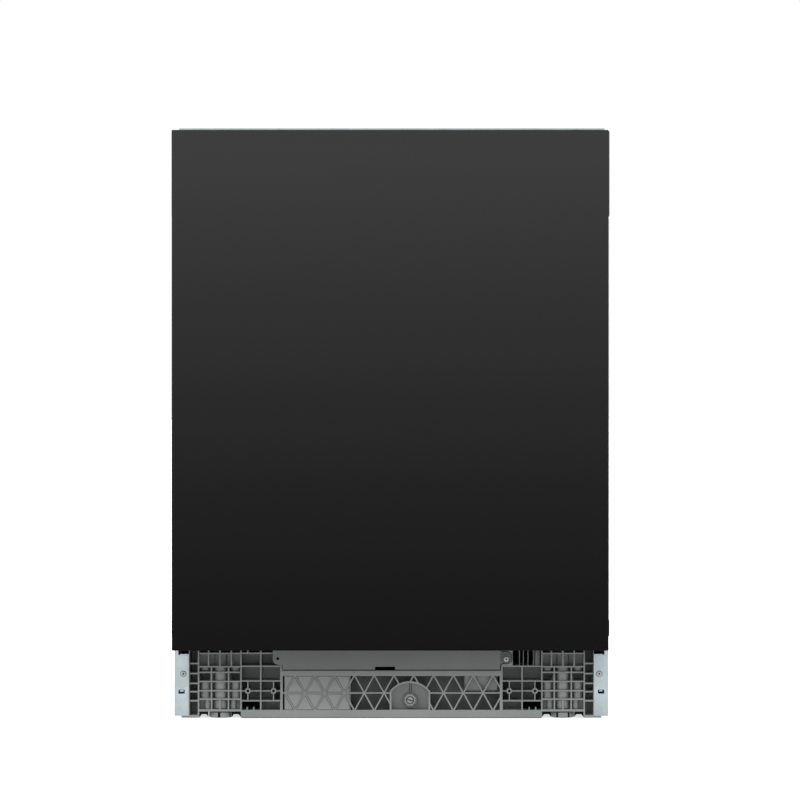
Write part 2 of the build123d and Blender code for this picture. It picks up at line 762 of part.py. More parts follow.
def salt_cap():
    base = ledge_height - 1 + seat
    cap = rod_z(salt_x, salt_y, base, base + 8, salt_cap_radius)
    cap = chamfer(cap.edges().group_by(Axis.Z)[-1], 2)
    grip = block((salt_x - 24, salt_x + 24), (salt_y - 4, salt_y + 4), (base + 7, base + 16))
    return cap + chamfer(grip.edges().group_by(Axis.Z)[-1], 1.5)


# Flat moulded water inlet box beside the tub, with its channels
def air_breaker():
    x0 = -frame_inside + seat
    x1 = -tub_half - bead_rise - 2 * seat - mat_thickness
    y0 = arm_centre_y - 82
    y1 = y0 + 230
    high = tub_top - 156
    body = from_side(round_rect(y0, y1, high - 300, high, 12), x0, x1)
    channels = cells(spread(y0 + 10, y1 - 10, 6), (high - 290, high - 150, high - 10), 8)
    body -= from_side(Sketch(children=channels), x0 - 1, x0 + 5)
    spout = from_side(round_rect(y0 + 100, y0 + 136, high - 350, high - 298, 6), x0 + 1, x1 - 1)
    return body + spout


def inlet_valve():
    wall = tray_back - 3 - seat
    z = connector_height
    thread = turned_y(inlet_x, back - inlet_length, back, z, inlet_radius)
    neck = rod_y(inlet_x, wall - 1, back - inlet_length + 1, z, 11.5)
    hexagon = from_front(Pos(inlet_x, z) * RegularPolygon(24, 6), wall - 9, wall)
    coil = from_above(round_rect(inlet_x - 16, inlet_x + 16, wall - 50, wall - 8, 5), 42, 84)
    stub = rod_z(inlet_x, wall - 34, 83, 106, 7.0)
    return thread + neck + hexagon + coil + stub - rod_y(inlet_x, back - 10, back + 1, z, 9.0)


def drain_outlet():
    wall = tray_back - 3 - seat
    spigot = turned_y(drain_x, wall - 20, back, connector_height, drain_radius)
    collar = rod_y(drain_x, wall - 5, wall, connector_height, 23.0)
    return spigot + collar - rod_y(drain_x, wall - 16, back + 1, connector_height, 7.5)


# Mains terminal box inside the rear wall, with its empty gland
def mains_inlet():
    wall = tray_back - 3 - seat
    box = from_front(round_rect(mains_x - 28, mains_x + 28, 36, 96, 6), wall - 40, wall)
    gland = rod_y(mains_x, wall - 1, tray_back + 4, connector_height, gland_radius)
    return box + gland - rod_y(mains_x, wall - 8, back, connector_height, 4.5)


# Riser on the tub's back wall that ends in the ceiling sprinkler
def feed_pipe():
    y1 = tub_back - seat
    pipe = from_above(round_rect(-17, 17, y1 - 16, y1, 6), ledge_height + seat, tub_top - 12)
    run = from_front(round_rect(-14, 14, tub_top - 16, tub_top - 3, 5), arm_centre_y, y1 - 4)
    rose = rod_z(0, arm_centre_y, tub_top - 24, tub_top - 3, 46)
    rose = chamfer(rose.edges().group_by(Axis.Z)[0], 6)
    for index in range(4):
        jet = Pos(0, arm_centre_y, tub_top - 24) * Rot(0, 0, index * 90) * Pos(28, 0, 0)
        rose -= jet * Box(12, 3, 8)
    dock = rod_y(0, y1 - 24, y1 - 15, dock_height, 14)
    return pipe + run + rose + dock - rod_y(0, y1 - 26, y1 - 17, dock_height, 10)


def upper_rails():
    web = tub_inside - seat
    profile = polygon(
        (web, rail_height - rail_depth / 2),
        (web, rail_height + rail_depth / 2),
        (web - 13, rail_height + rail_depth / 2),
        (web - 13, rail_height + rail_depth / 2 - 4),
        (web - 11, rail_height + rail_depth / 2 - 4),
        (web - 11, rail_height + rail_depth / 2 - 2),
        (web - 2, rail_height + rail_depth / 2 - 2),
        (web - 2, rail_height - rail_depth / 2 + 2),
        (web - 11, rail_height - rail_depth / 2 + 2),
        (web - 11, rail_height - rail_depth / 2 + 4),
        (web - 13, rail_height - rail_depth / 2 + 4),
        (web - 13, rail_height - rail_depth / 2),
    )
    return group(*both_sides(from_front(profile, rack_front + 5, rack_back + 14)))


# Slides inside the fixed rails, carried by the upper rack
def upper_runners():
    web = tub_inside - seat
    half = rail_depth / 2 - 2 - play
    outer = rect(web - 10.5, web - 2.6, rail_height - half, rail_height + half)
    inner = rect(web - 9.0, web - 4.1, rail_height - half + 1.5, rail_height + half - 1.5)
    slide = from_front(outer - inner, rack_front + 5, rack_back)
    tongue = from_front(rect(upper_rack_half + seat, web - 10, rail_height - 5, rail_height + 5),
                        rack_front + 40, rack_back - 40)
    return group(*both_sides(slide + tongue))


# Flat filter plate over the sump with holes for the cylinder and the arm's stem
def filter_plate():
    z = floor_low - floor_sheet + seat
    half_x = sump_half_x - 1
    y0 = sump_middle_y - sump_half_y + 1
    y1 = sump_middle_y + sump_half_y - 1
    plate = from_above(round_rect(-half_x, half_x, y0, y1, 29), z, z + 2)
    plate -= rod_z(0, filter_y, z - 1, z + 3, turning_hole(filter_radius))
    plate -= rod_z(0, arm_centre_y, z - 1, z + 3, 13.0 + seat)
    for place in (-1, 1):
        for reach in (56.0, 70.0):
            rib = block(sorted((place * reach, place * (reach + 2))), (y0 + 24, y1 - 24), (z + 1, z + 3.5))
            plate += rib
    return plate


# Coarse filter that drops into the sump and locks with a quarter turn
def filter_cylinder():
    top = floor_low - floor_sheet + 2 + 2 * seat + 1
    foot_level = 76.0
    cup = ring_z(0, filter_y, foot_level + 1, top, filter_radius - 1, filter_radius - 3)
    for index in range(4):
        window = Pos(0, filter_y, 97) * Rot(0, 0, 90 * index + 45) * Pos(filter_radius, 0, 0)
        cup -= window * Box(20, 34, 32)
    cup += ring_z(0, filter_y, top - 1, top + 2, filter_radius + 4, filter_radius - 12)
    cup += rod_z(0, filter_y, foot_level, foot_level + 2, filter_radius - 1)
    grip = from_front(round_rect(-filter_radius + 8, filter_radius - 8, top + 1, top + 14, 4),
                      filter_y - 2, filter_y + 2)
    return cup + grip


# Hollow-looking rotor: a tapered two-bladed body on a hub, with its jets
def spray_arm(radius, height, bore):
    blade = make_face(
        Polyline((-26, -9), (-radius + 14, -16), (-radius, -8), (-radius, 8),
                 (-radius + 14, 16), (-26, 24), (26, 9), (radius - 14, 16),
                 (radius, 8), (radius, -8), (radius - 14, -16), (26, -24), close=True)
    )
    body = extrude(Plane.XY * blade, amount=14)
    body = chamfer(body.edges().group_by(Axis.Z)[-1], 3)
    body += rod_z(0, 0, -arm_hub_drop, 18, 24)
    for side in (-1, 1):
        for index in range(3):
            place = side * (60 + index * (radius - 84) / 2)
            body -= Pos(place, side * (2 - index), 14) * Box(7, 2.4, 6)
    body -= rod_z(0, 0, -8, 20, bore)
    return Pos(0, arm_centre_y, height) * body


def lower_arm():
    return spray_arm(lower_arm_radius, lower_arm_height, turning_hole(arm_stem_radius))


def upper_arm():
    return spray_arm(upper_arm_radius, upper_arm_height, turning_hole(arm_stem_radius))


# Wire bent to a U in the X-Z plane, with rounded lower corners
def cross_wire(half, low, high, y, lean):
    path_outer = polygon((-half - lean, high), (-half, low), (half, low), (half + lean, high))
    inner_half = half - wire
    slope = lean
    path_inner = polygon((-inner_half - slope, high + 1), (-inner_half, low + wire),
                         (inner_half, low + wire), (inner_half + slope, high + 1))
    sketch = path_outer - path_inner
    return from_front(sketch, y - wire / 2, y + wire / 2)


# Wire bent to a U in the Y-Z plane
def long_wire(y0, y1, low, high, x, lean):
    outer = polygon((y0 - lean, high), (y0, low), (y1, low), (y1 + lean / 3, high))
    inner = polygon((y0 + wire - lean, high + 1), (y0 + wire, low + wire),
                    (y1 - wire, low + wire), (y1 - wire + lean / 3, high + 1))
    return from_side(outer - inner, x - wire / 2, x + wire / 2)


def rim_wire(half, y0, y1, z, radius):
    outer = round_rect(-half, half, y0, y1, radius)
    inner = round_rect(-half + wire, half - wire, y0 + wire, y1 - wire, radius - wire)
    return from_above(outer - inner, z - wire / 2, z + wire / 2)


def spread(low, high, count):
    return [low + (high - low) * index / (count - 1) for index in range(count)]


def lower_rack():
    half = lower_rack_half - 4
    y0 = rack_front + 4
    y1 = rack_back - 4
    rack = rim_wire(lower_rack_half, rack_front, rack_back, lower_rack_rim, 22)
    for y in spread(y0 + 26, y1 - 26, 5):
        rack += cross_wire(half, lower_rack_floor, lower_rack_rim, y, 3.0)
    for x in spread(-half + 2, half - 2, 5):
        rack += long_wire(y0, y1, lower_rack_floor - wire + 0.5, lower_rack_rim, x, 3.0)
    for y in (wheel_front_y, wheel_back_y):
        for side in (-1, 1):
            rack += wheel_bracket(side, y)
    for y in spread(y0 + 60, y1 - 60, 7):
        z0 = lower_rack_floor
        rack += block((-wire / 2, wire / 2), (y - wire / 2, y + wire / 2), (z0 - 2, z0 + tine_height))
    return rack


# Moulded wheel carrier under the rack's corner, with its axle
def wheel_bracket(side, y):
    z = ledge_height + seat + wheel_radius
    inner = wheel_x - wheel_width / 2 - play - 4
    plate = from_side(round_rect(y - 13, y + 13, z - 9, lower_rack_floor + 22, 6), inner, inner + 4)
    level = (lower_rack_floor - 2, lower_rack_floor + 14)
    arm_box = block((lower_rack_half - 8, inner + 2), (y - 9, y + 9), level)
    axle = rod_x(inner + 3, wheel_x + wheel_width / 2 + 1.5, y, z, 4.0)
    bracket = plate + arm_box + axle
    return bracket if side > 0 else mirror(bracket, about=Plane.YZ)


# Left and right wheel on one axle line
def wheels(y):
    z = ledge_height + seat + wheel_radius
    half = wheel_width / 2
    wheel = from_side(Pos(y, z) * RegularPolygon(wheel_radius, 2 * flats), wheel_x - half, wheel_x + half)
    face = wheel_x + half
    wheel -= rod_x(face - 3, face + 3, y, z, wheel_radius - 4) - rod_x(face - 4, face + 4, y, z, 8)
    wheel -= rod_x(wheel_x - 10, wheel_x + 10, y, z, turning_hole(4.0))
    return group(*both_sides(wheel))


# Row of tines on its own rod, which folds down beside the rack's floor
def tine_row(x):
    z = lower_rack_floor + wire + seat + 2.5
    y0 = rack_front + 112
    y1 = rack_back - 60
    row = rod_y(x, y0 - 8, y1 + 8, z, 2.5)
    for y in spread(y0, y1, 7):
        row += block((x - wire / 2, x + wire / 2), (y - wire / 2, y + wire / 2), (z, z + tine_height - 6))
    return row


# Open box of slatted walls with compartments, standing in the lower rack
def cutlery_basket():
    x0, x1 = basket_right - basket_length, basket_right
    y0, y1 = rack_front + 16, rack_front + 16 + basket_depth
    z0 = lower_rack_floor + wire + seat
    z1 = z0 + basket_height
    walls = rect(x0, x1, y0, y1)
    for cell in cells(spread(x0 + 1, x1 - 1, 5), (y0 + 1, (y0 + y1) / 2, y1 - 1), 2.0):
        walls -= cell
    body = from_above(walls, z0, z1)
    body += block((x0, x1), (y0, y1), (z0, z0 + 2.5))
    slots = cells(spread(x0 + 4, x1 - 4, 5), (z0 + 14, z0 + 90), 10.0)
    body -= from_front(Sketch(children=slots), y0 - 1, y0 + 3)
    body -= from_front(Sketch(children=slots), y1 - 3, y1 + 1)
    grip = round_rect(x0 + 30, x1 - 30, z1 - 10, z1 + 44, 12)
    grip -= round_rect(x0 + 38, x1 - 38, z1 - 14, z1 + 36, 8)
    middle = (y0 + y1) / 2
    return body + from_front(grip, middle - 3, middle + 3)


def upper_rack():
    half = upper_rack_half - 4
    y0 = rack_front + 4
    y1 = rack_back - 4
    rack = rim_wire(upper_rack_half, rack_front, rack_back, upper_rack_rim, 22)
    for y in spread(y0 + 26, y1 - 26, 5):
        rack += cross_wire(half, upper_rack_floor, upper_rack_rim, y, 3.0)
    long_places = spread(-half + 2, half - 2, 5)
    for x in long_places:
        rack += long_wire(y0, y1, upper_rack_floor - wire + 0.5, upper_rack_rim, x, 3.0)
    low = rail_height - 8
    for side in (-1, 1):
        inner = upper_rack_half - runner_plate
        plate = block((inner, upper_rack_half), (y0 + 20, y1 - 20), (low, low + 16))
        rack += plate if side > 0 else mirror(plate, about=Plane.YZ)
    for y in spread(y0 + 60, y1 - 60, 6):
        for x in (long_places[1], long_places[3]):
            rack += block((x - wire / 2, x + wire / 2), (y - wire / 2, y + wire / 2),
                          (upper_rack_floor - 2, upper_rack_floor + 46))
    return rack


# Fold-down cup shelf along one side of the upper rack
def cup_shelf():
    y0 = rack_front + 60
    y1 = rack_back - 60
    x1 = upper_rack_half - runner_plate - play - 3.0
    z = upper_rack_floor + 62
    shelf = rod_y(x1, y0, y1, z, 3.0)
    plate = rect(x1 - 86, x1 - 1, y0 + 10, y1 - 10)
    for cell in cells((x1 - 82, x1 - 46, x1 - 10), spread(y0 + 14, y1 - 14, 5), 8.0):
        plate -= cell
    return shelf + from_above(plate, z - 1.5, z + 1.5)


# Water channel under the upper rack, from its dock to the arm's stem
def upper_feed():
    z = dock_height
    dock = rod_y(0, tub_back - 44, tub_back - 28, z, 9.5)
    channel = from_front(round_rect(-13, 13, z - 8, upper_rack_floor - wire - seat, 4), arm_centre_y,
                         tub_back - 36)
    hub_bottom = upper_arm_height - arm_hub_drop
    stem = rod_z(0, arm_centre_y, hub_bottom - 4, z, arm_stem_radius)
    knob = rod_z(0, arm_centre_y, hub_bottom - 6, hub_bottom - seat, 15)
    return dock + channel + stem + knob


def front_panel():
    slab = block((-panel_half, panel_half), (front, panel_back), (panel_bottom, panel_top))
    return fillet(slab.edges().group_by(Axis.Y)[0], panel_edge)


# Pressed outer sheet with its side returns, seen as the strip behind the panel's edge
def door_outer():
    edge = half_width - 0.5
    returns = pan_front + door_flange_depth
    profile = polygon(
        (-edge, pan_front),
        (edge, pan_front),
        (edge, returns),
        (edge - door_skin, returns),
        (edge - door_skin, board),
        (-edge + door_skin, board),
        (-edge + door_skin, returns),
        (-edge, returns),
    )
    pan = from_above(profile, door_strip_bottom, console_foot - seat)
    foot_half = liner_half - 5.2
    pan += block((-foot_half, foot_half), (pan_front, board), (panel_bottom + 2, door_strip_bottom + 1))
    for side in (-1, 1):
        pan -= Pos(side * edge, returns, door_strip_notch) * Box(6, 8, 4.5)
    return pan


# Pressed inner liner with its raised field, latch window and dispenser opening
def door_inner():
    y0 = door_back - door_skin
    top = panel_top - console_wall - seat
    sheet = block((-liner_half, liner_half), (y0, door_back), (panel_bottom + 2, top))
    for side in (-1, 1):
        edge = sorted((side * liner_half, side * (liner_half - door_skin)))
        sheet += block(edge, (board + 5, door_back), (panel_bottom + 2, console_foot - seat))
    half = liner_field_half
    low, high = 165.0, panel_top - 54.0
    sheet += loft_frame(-half, half, low, high, 30, door_back - 0.2, liner_crown)
    half -= door_skin
    low += door_skin
    high -= door_skin
    sheet -= loft_frame(-half, half, low, high, 29, door_back - 1.5, liner_crown + 0.1)
    opening = rect(dispenser_left, dispenser_right, dispenser_low, dispenser_high)
    sheet -= from_front(opening, y0 - 8, door_back + 10)
    sheet -= block((-20, 20), (y0 - 3, door_back + 3), (striker_height - 7, striker_height + 3.6))
    return sheet


# Control housing along the door's top edge, open to the rear
def console():
    z0 = console_foot
    y1 = door_back - door_skin - seat
    housing = block((-half_width, half_width), (pan_front, y1), (z0, panel_top))
    inside = half_width - console_wall
    housing -= block((-inside, inside), (pan_front + console_wall, y1 + 1),
                     (z0 + console_wall, panel_top - console_wall))
    slant = polygon((half_width, z0 - 1), (half_width, z0 + 3), (half_width - 3.5, z0 - 1))
    for corner in both_sides(from_front(slant, pan_front - 1, y1 + 1)):
        housing -= corner
    for x in button_places():
        reach = button_length / 2 + seat
        depth = button_width / 2 + seat
        opening = round_rect(x - reach, x + reach, button_y - depth, button_y + depth, 2)
        housing -= from_above(opening, panel_top - console_wall - 1, panel_top + 1)
    window_x = display_half + seat
    window_y = display_depth / 2 + seat
    housing -= block((-window_x, window_x), (button_y - window_y, button_y + window_y),
                     (panel_top - 1.5, panel_top + 1))
    for x in (-70.0, 70.0):
        housing += rod_y(x, pan_front + 2, board_y - seat, console_foot + 45, 4.0)
    return housing


def button_places():
    return [button_first + index * button_pitch for index in range(button_count)]


# Push key with a retaining collar under the console's top wall
def button(x):
    half = button_length / 2
    y0 = button_y - button_width / 2
    y1 = button_y + button_width / 2
    under = panel_top - console_wall - seat
    key = from_above(round_rect(x - half, x + half, y0, y1, 1.7), under - 3, panel_top + button_proud)
    collar = from_above(rect(x - half - 1.5, x + half + 1.5, y0 - 1.5, y1 + 1.5), under - 2.5, under)
    return key + collar


def display_window():
    half = display_depth / 2
    return block((-display_half, display_half), (button_y - half, button_y + half),
                 (panel_top - 1.5 + seat, panel_top))


def control_board():
    card = block((-110, 110), (board_y, board_y + 1.6), (console_foot + 8, console_foot + 78))
    relay = block((-90, -66), (board_y + 1.4, board_y + 14), (console_foot + 22, console_foot + 42))
    coil = rod_y(30, board_y + 1.4, board_y + 16, console_foot + 40, 9)
    header = block((50, 96), (board_y + 1.4, board_y + 9), (console_foot + 16, console_foot + 24))
    return card + relay + coil + header


# Latch housing whose mouth takes the striker
def door_latch():
    y1 = door_back - door_skin - seat
    top = panel_top - console_wall - seat
    box = from_front(round_rect(-32, 32, top - 34, top, 4), y1 - 24, y1)
    return box - block((-20, 20), (y1 - 19, y1 + 1), (striker_height - 6.5, striker_height + 3.3))


def dispenser_body():
    x0, x1 = dispenser_left + seat, dispenser_right - seat
    z0, z1 = dispenser_low + seat, dispenser_high - seat
    face = dispenser_face
    body = from_front(round_rect(x0, x1, z0, z1, 8), face - dispenser_depth, face)
    chamber = round_rect(dispenser_left + 12, dispenser_left + 72, dispenser_low + 12, dispenser_high - 12, 8)
    body -= from_front(chamber, face - chamber_depth, face + 1)
    body -= rod_y(rinse_x, face - 12, face + 1, rinse_height, turning_hole(rinse_radius + seat))
    return body


def dispenser_lid():
    face = dispenser_face + seat
    x0 = dispenser_left + 8
    plate = round_rect(x0, x0 + 68, dispenser_low + 8, dispenser_high - 8, 6)
    lid = from_front(plate, face, face + 3)
    grip = from_front(round_rect(x0 + 8, x0 + 18, rinse_height, rinse_height + 40, 4), face + 2.5, face + 5)
    return lid + grip


def rinse_cap():
    face = dispenser_face + seat
    cap = rod_y(rinse_x, face, face + 4, rinse_height, rinse_radius + 5)
    cap += rod_y(rinse_x, face - 10, face + 1, rinse_height, rinse_radius)
    grip = rect(rinse_x - 12, rinse_x + 12, rinse_height - 2, rinse_height + 2)
    return cap + from_front(grip, face + 3, face + 7)


# Steel arms inside the door's sides, turning on the frame's pins
def hinge_arms():
    x1 = frame_inside - play
    top = hinge_height + hinge_arm_height
    outline = disc(hinge_y, hinge_height, hinge_arm_radius)
    outline += rect(hinge_y - hinge_arm_radius, hinge_y + 10, hinge_height, top)
    tail = spring_hook_reach + 6
    outline += round_rect(hinge_y - 4, hinge_y + tail, hinge_height + 24, hinge_height + 40, 5)
    outline -= disc(hinge_y + spring_hook_reach, hinge_height + spring_hook_rise, 1.9)
    arm = from_side(outline, x1 - hinge_arm_thickness, x1)
    arm -= turned_x(x1 - 10, x1 + 10, hinge_y, hinge_height, hinge_pin_radius + running)
    return group(*both_sides(arm))


def hinge_covers():
    x0 = frame_inside + frame_sheet + seat
    y1 = pan_front + door_flange_depth
    low = hinge_height + 6
    top = door_strip_bottom - seat
    outline = polygon(
        (pan_front, low + 3.5),
        (pan_front + 4, low),
        (y1 - 6, low),
        (y1, low + 6),
        (y1, top),
        (pan_front, top),
    )
    return group(*both_sides(from_side(outline, x0, half_width)))


# Door springs lying in the side channels, hooked to the arms and the frames
def door_springs():
    z = hinge_height + spring_hook_rise
    x = frame_inside - 5.0
    hook_y = hinge_y + spring_hook_reach
    coil_end = spring_anchor_y - 14.0
    coil = rod_y(x, hook_y + 14, coil_end, z, spring_radius)
    end = rod_y(x, coil_end - 0.5, spring_anchor_y - seat, z, 1.5)
    front_end = rod_y(x, hook_y - 1.5, hook_y + 14.5, z, 1.5)
    hook = rod_x(x, frame_inside - play - 0.5, hook_y, z, 1.5)
    spring = coil + end + front_end + hook
    return group(*both_sides(spring))


parts = {
    "base_front": base_front(),
    "base_tray": base_tray(),
    "toe_crossbar": toe_crossbar(),
    "side_frame_right": side_frame(),
    "side_frame_left": mirror(side_frame(), about=Plane.YZ),
    "front_screws": front_screws(),
    "front_foot_left": foot(-foot_x, foot_y, base_top - 8),
    "front_foot_right": foot(foot_x, foot_y, base_top - 8),
    "rear_foot": foot(adjuster_x, rear_foot_y, 74),
    "adjuster_screw": adjuster_screw(),
    "tub_band": tub_band(),
    "tub_back": tub_back_panel(),
    "tub_floor": tub_floor(),
    "tub_gasket": tub_gasket(),
    "insulation_mats": insulation_mats(),
    "top_stabiliser": top_stabiliser(),
    "sump": sump(),
    "circulation_pump": circulation_pump(),
    "drain_pump": drain_pump(),
    "softener": softener(),
    "salt_cap": salt_cap(),
    "air_breaker": air_breaker(),
    "inlet_valve": inlet_valve(),
    "drain_outlet": drain_outlet(),
    "mains_inlet": mains_inlet(),
    "feed_pipe": feed_pipe(),
    "upper_rails": upper_rails(),
    "upper_runners": upper_runners(),
    "filter_plate": filter_plate(),
    "filter_cylinder": filter_cylinder(),
    "lower_arm": lower_arm(),
    "upper_arm": upper_arm(),
    "lower_rack": lower_rack(),
    "lower_wheels_front": wheels(wheel_front_y),
    "lower_wheels_rear": wheels(wheel_back_y),
    "tine_row_left": tine_row(-tine_row_x),
    "tine_row_right": tine_row(tine_row_x),
    "cutlery_basket": cutlery_basket(),
    "upper_rack": upper_rack(),
    "cup_shelf_right": cup_shelf(),
    "cup_shelf_left": mirror(cup_shelf(), about=Plane.YZ),
    "upper_feed": upper_feed(),
    "front_panel": front_panel(),
    "door_outer": door_outer(),
    "door_inner": door_inner(),
    "console": console(),
    "display_window": display_window(),
    "control_board": control_board(),
    "door_latch": door_latch(),
    "dispenser_body": dispenser_body(),
    "dispenser_lid": dispenser_lid(),
    "rinse_cap": rinse_cap(),
    "hinge_arms": hinge_arms(),
    "hinge_covers": hinge_covers(),
    "door_springs": door_springs(),
}
for index, place in enumerate(button_places()):
    parts["button_" + str(index + 1)] = button(place)

os.makedirs("parts", exist_ok=True)
for name, shape in parts.items():
    export_step(shape, "parts/" + name + ".step")
print(len(parts), "pieces written")
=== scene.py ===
import bmesh
import bpy
import json
import math
import numpy as np
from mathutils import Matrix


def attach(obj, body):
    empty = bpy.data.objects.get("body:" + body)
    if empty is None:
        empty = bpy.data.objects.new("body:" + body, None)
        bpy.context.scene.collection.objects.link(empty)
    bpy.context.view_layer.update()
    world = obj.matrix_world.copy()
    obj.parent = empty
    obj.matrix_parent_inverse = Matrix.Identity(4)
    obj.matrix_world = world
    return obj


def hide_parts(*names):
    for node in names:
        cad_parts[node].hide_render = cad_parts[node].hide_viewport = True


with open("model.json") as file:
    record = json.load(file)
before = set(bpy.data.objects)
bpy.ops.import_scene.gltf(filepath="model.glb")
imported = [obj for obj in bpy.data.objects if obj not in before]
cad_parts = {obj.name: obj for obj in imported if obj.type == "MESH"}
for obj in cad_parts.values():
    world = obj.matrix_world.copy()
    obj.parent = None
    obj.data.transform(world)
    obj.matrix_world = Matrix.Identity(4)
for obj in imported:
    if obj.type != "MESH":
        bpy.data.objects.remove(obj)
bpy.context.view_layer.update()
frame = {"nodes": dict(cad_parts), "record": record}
nodes = frame["nodes"]
print("frame loaded:", len(nodes), "nodes")

# Lengths below are in millimetres: this turns them into the frame's metres
toMetres = 0.001


# An output of another node is linked to an input, anything else is the input's fixed value
def setInputs(tree, node, inputs):
    for name, value in inputs.items():
        if isinstance(value, bpy.types.NodeSocket):
            tree.links.new(value, node.inputs[name])
        else:
            node.inputs[name].default_value = value
    return node


def addNode(tree, kind, inputs, operation=None):
    node = tree.nodes.new("ShaderNode" + kind)
    if operation:
        node.operation = operation
    return setInputs(tree, node, inputs)


# A new material, its tree and shader, and the piece's own coordinates times a stretch
def newFinish(name, stretch=(1, 1, 1)):
    material = bpy.data.materials.new(name)
    material.use_nodes = True
    tree = material.node_tree
    coordinates = addNode(tree, "TexCoord", {})
    mapping = addNode(tree, "Mapping", {"Vector": coordinates.outputs["Object"], "Scale": stretch})
    return material, tree, tree.nodes["Principled BSDF"], mapping.outputs["Vector"]


def noise(tree, vector, scale, detail=3.0, rough=0.5):
    inputs = {"Vector": vector, "Scale": scale, "Detail": detail, "Roughness": rough}
    return addNode(tree, "TexNoise", inputs).outputs["Fac"]


def ramp(tree, factor, stops):
    node = addNode(tree, "ValToRGB", {"Fac": factor})
    elements = node.color_ramp.elements
    while len(elements) < len(stops):
        elements.new(0.5)
    for element, (position, colour) in zip(elements, stops):
        element.position = position
        element.color = (*colour, 1.0)
    return node.outputs["Color"]


def spread(tree, value, low, high, fromLow=0.0, fromHigh=1.0):
    inputs = {"Value": value, "From Min": fromLow, "From Max": fromHigh, "To Min": low, "To Max": high}
    return addNode(tree, "MapRange", inputs).outputs["Result"]


def bump(tree, height, strength, distance):
    inputs = {"Height": height, "Strength": strength, "Distance": distance}
    return addNode(tree, "Bump", inputs).outputs["Normal"]


def heightOf(tree, vector):
    return addNode(tree, "SeparateXYZ", {"Vector": vector}).outputs["Z"]


# One tone, or a colour of three, times a tint
def tinted(value, tint=(1.0, 1.0, 1.0)):
    return tuple(float(part) for part in np.multiply(value, tint))


# Painted shade: tone falls with height, from the whole colour at the low level to a share of it at the high
# one, standing for the shade under the overhanging door
def paintedShadeByHeight(tree, vector, colour, low, high, share):
    part = spread(tree, heightOf(tree, vector), 1.0, share, low, high)
    return addNode(tree, "VectorMath", {0: colour, "Scale": part}, "SCALE").outputs["Vector"]


# Colour runs between two near tones over a soft cloud, fine grain goes to bump and roughness
def moulded(name, dark, light, rough, grain, tint=(1.0, 1.0, 1.0), depth=0.00004, strength=0.25, cloud=9.0,
            stretch=(1, 1, 1), metallic=0.0, coat=0.0, sheen=0.0, specular=0.5, glow=0.0, paintedShade=None):
    material, tree, shader, vector = newFinish(name, stretch)
    stops = ((0.3, tinted(dark, tint)), (0.7, tinted(light, tint)))
    colour = ramp(tree, noise(tree, vector, cloud, 4.0), stops)
    fine = noise(tree, vector, grain, 4.0, 0.6)
    # Base colour takes painted shade by height where a finish asks for it
    setInputs(tree, shader, {
        "Base Color": paintedShadeByHeight(tree, vector, colour, *paintedShade) if paintedShade else colour,
        "Roughness": spread(tree, fine, *rough), "Normal": bump(tree, fine, strength, depth),
        "Metallic": metallic, "Coat Weight": coat, "Sheen Weight": sheen, "Specular IOR Level": specular})
    if glow:
        setInputs(tree, shader, {"Emission Color": colour, "Emission Strength": glow})
    return material


# Zinc coat: large pale crystals, each a little lighter or darker than its neighbour
def zinced(name, dark, light, crystal=140.0):
    material, tree, shader, vector = newFinish(name)
    crystals = addNode(tree, "TexVoronoi", {"Vector": vector, "Scale": crystal})
    tones = noise(tree, crystals.outputs["Position"], 40.0, 1.0)
    fine = noise(tree, vector, 700.0)
    setInputs(tree, shader, {
        "Base Color": ramp(tree, tones, ((0.3, dark), (0.7, light))),
        "Roughness": spread(tree, tones, 0.4, 0.56), "Normal": bump(tree, fine, 0.15, 0.00004),
        "Metallic": 0.45})
    return material


# Polished dark sheet with a painted reflection: the tone rises from the foot of the panel to its head
def paintedReflectionSheet(name, tones, low, high):
    material, tree, shader, vector = newFinish(name)
    rise = spread(tree, heightOf(tree, vector), 0.0, 1.0, low, high)
    fine = noise(tree, vector, 300.0)
    wave = noise(tree, vector, 6.0, 1.0)
    setInputs(tree, shader, {
        "Base Color": ramp(tree, rise, [(level, tinted(tone)) for level, tone in tones]),
        "Roughness": spread(tree, fine, 0.20, 0.26), "Normal": bump(tree, wave, 0.02, 0.0002),
        "Specular IOR Level": 0.03})
    return material


# Steel sheet pierced with rows of small round holes, drawn as dark dots a fixed step apart
def pierced(name, sheet, hole, step=0.0026, radius=0.0008):
    material, tree, shader, vector = newFinish(name)
    cell = {0: vector, 1: (step / 2, step / 2, 100.0), 2: (-step / 2, -step / 2, -100.0)}
    wrapped = addNode(tree, "VectorMath", cell, "WRAP").outputs["Vector"]
    flat = addNode(tree, "VectorMath", {0: wrapped, 1: (1, 1, 0)}, "MULTIPLY").outputs["Vector"]
    away = addNode(tree, "VectorMath", {0: flat}, "LENGTH").outputs["Value"]
    rim = spread(tree, away, 0.0, 1.0, radius * 0.85, radius * 1.15)
    fine = noise(tree, vector, 500.0)
    setInputs(tree, shader, {
        "Base Color": ramp(tree, rim, ((0.0, tinted(hole)), (1.0, tinted(sheet)))),
        "Roughness": spread(tree, fine, 0.3, 0.42), "Normal": bump(tree, rim, 0.5, 0.0004),
        "Metallic": rim})
    return material


cool = {"tint": (0.93, 1.0, 0.985)}
# Painted shade under the overhanging door and panel: the colour falls from 10 mm to 64 mm up, to 0.64 of
# itself
coolWithPaintedShade = {**cool, "paintedShade": (0.010, 0.064, 0.64)}
brushed = {"metallic": 1.0, "strength": 0.12}
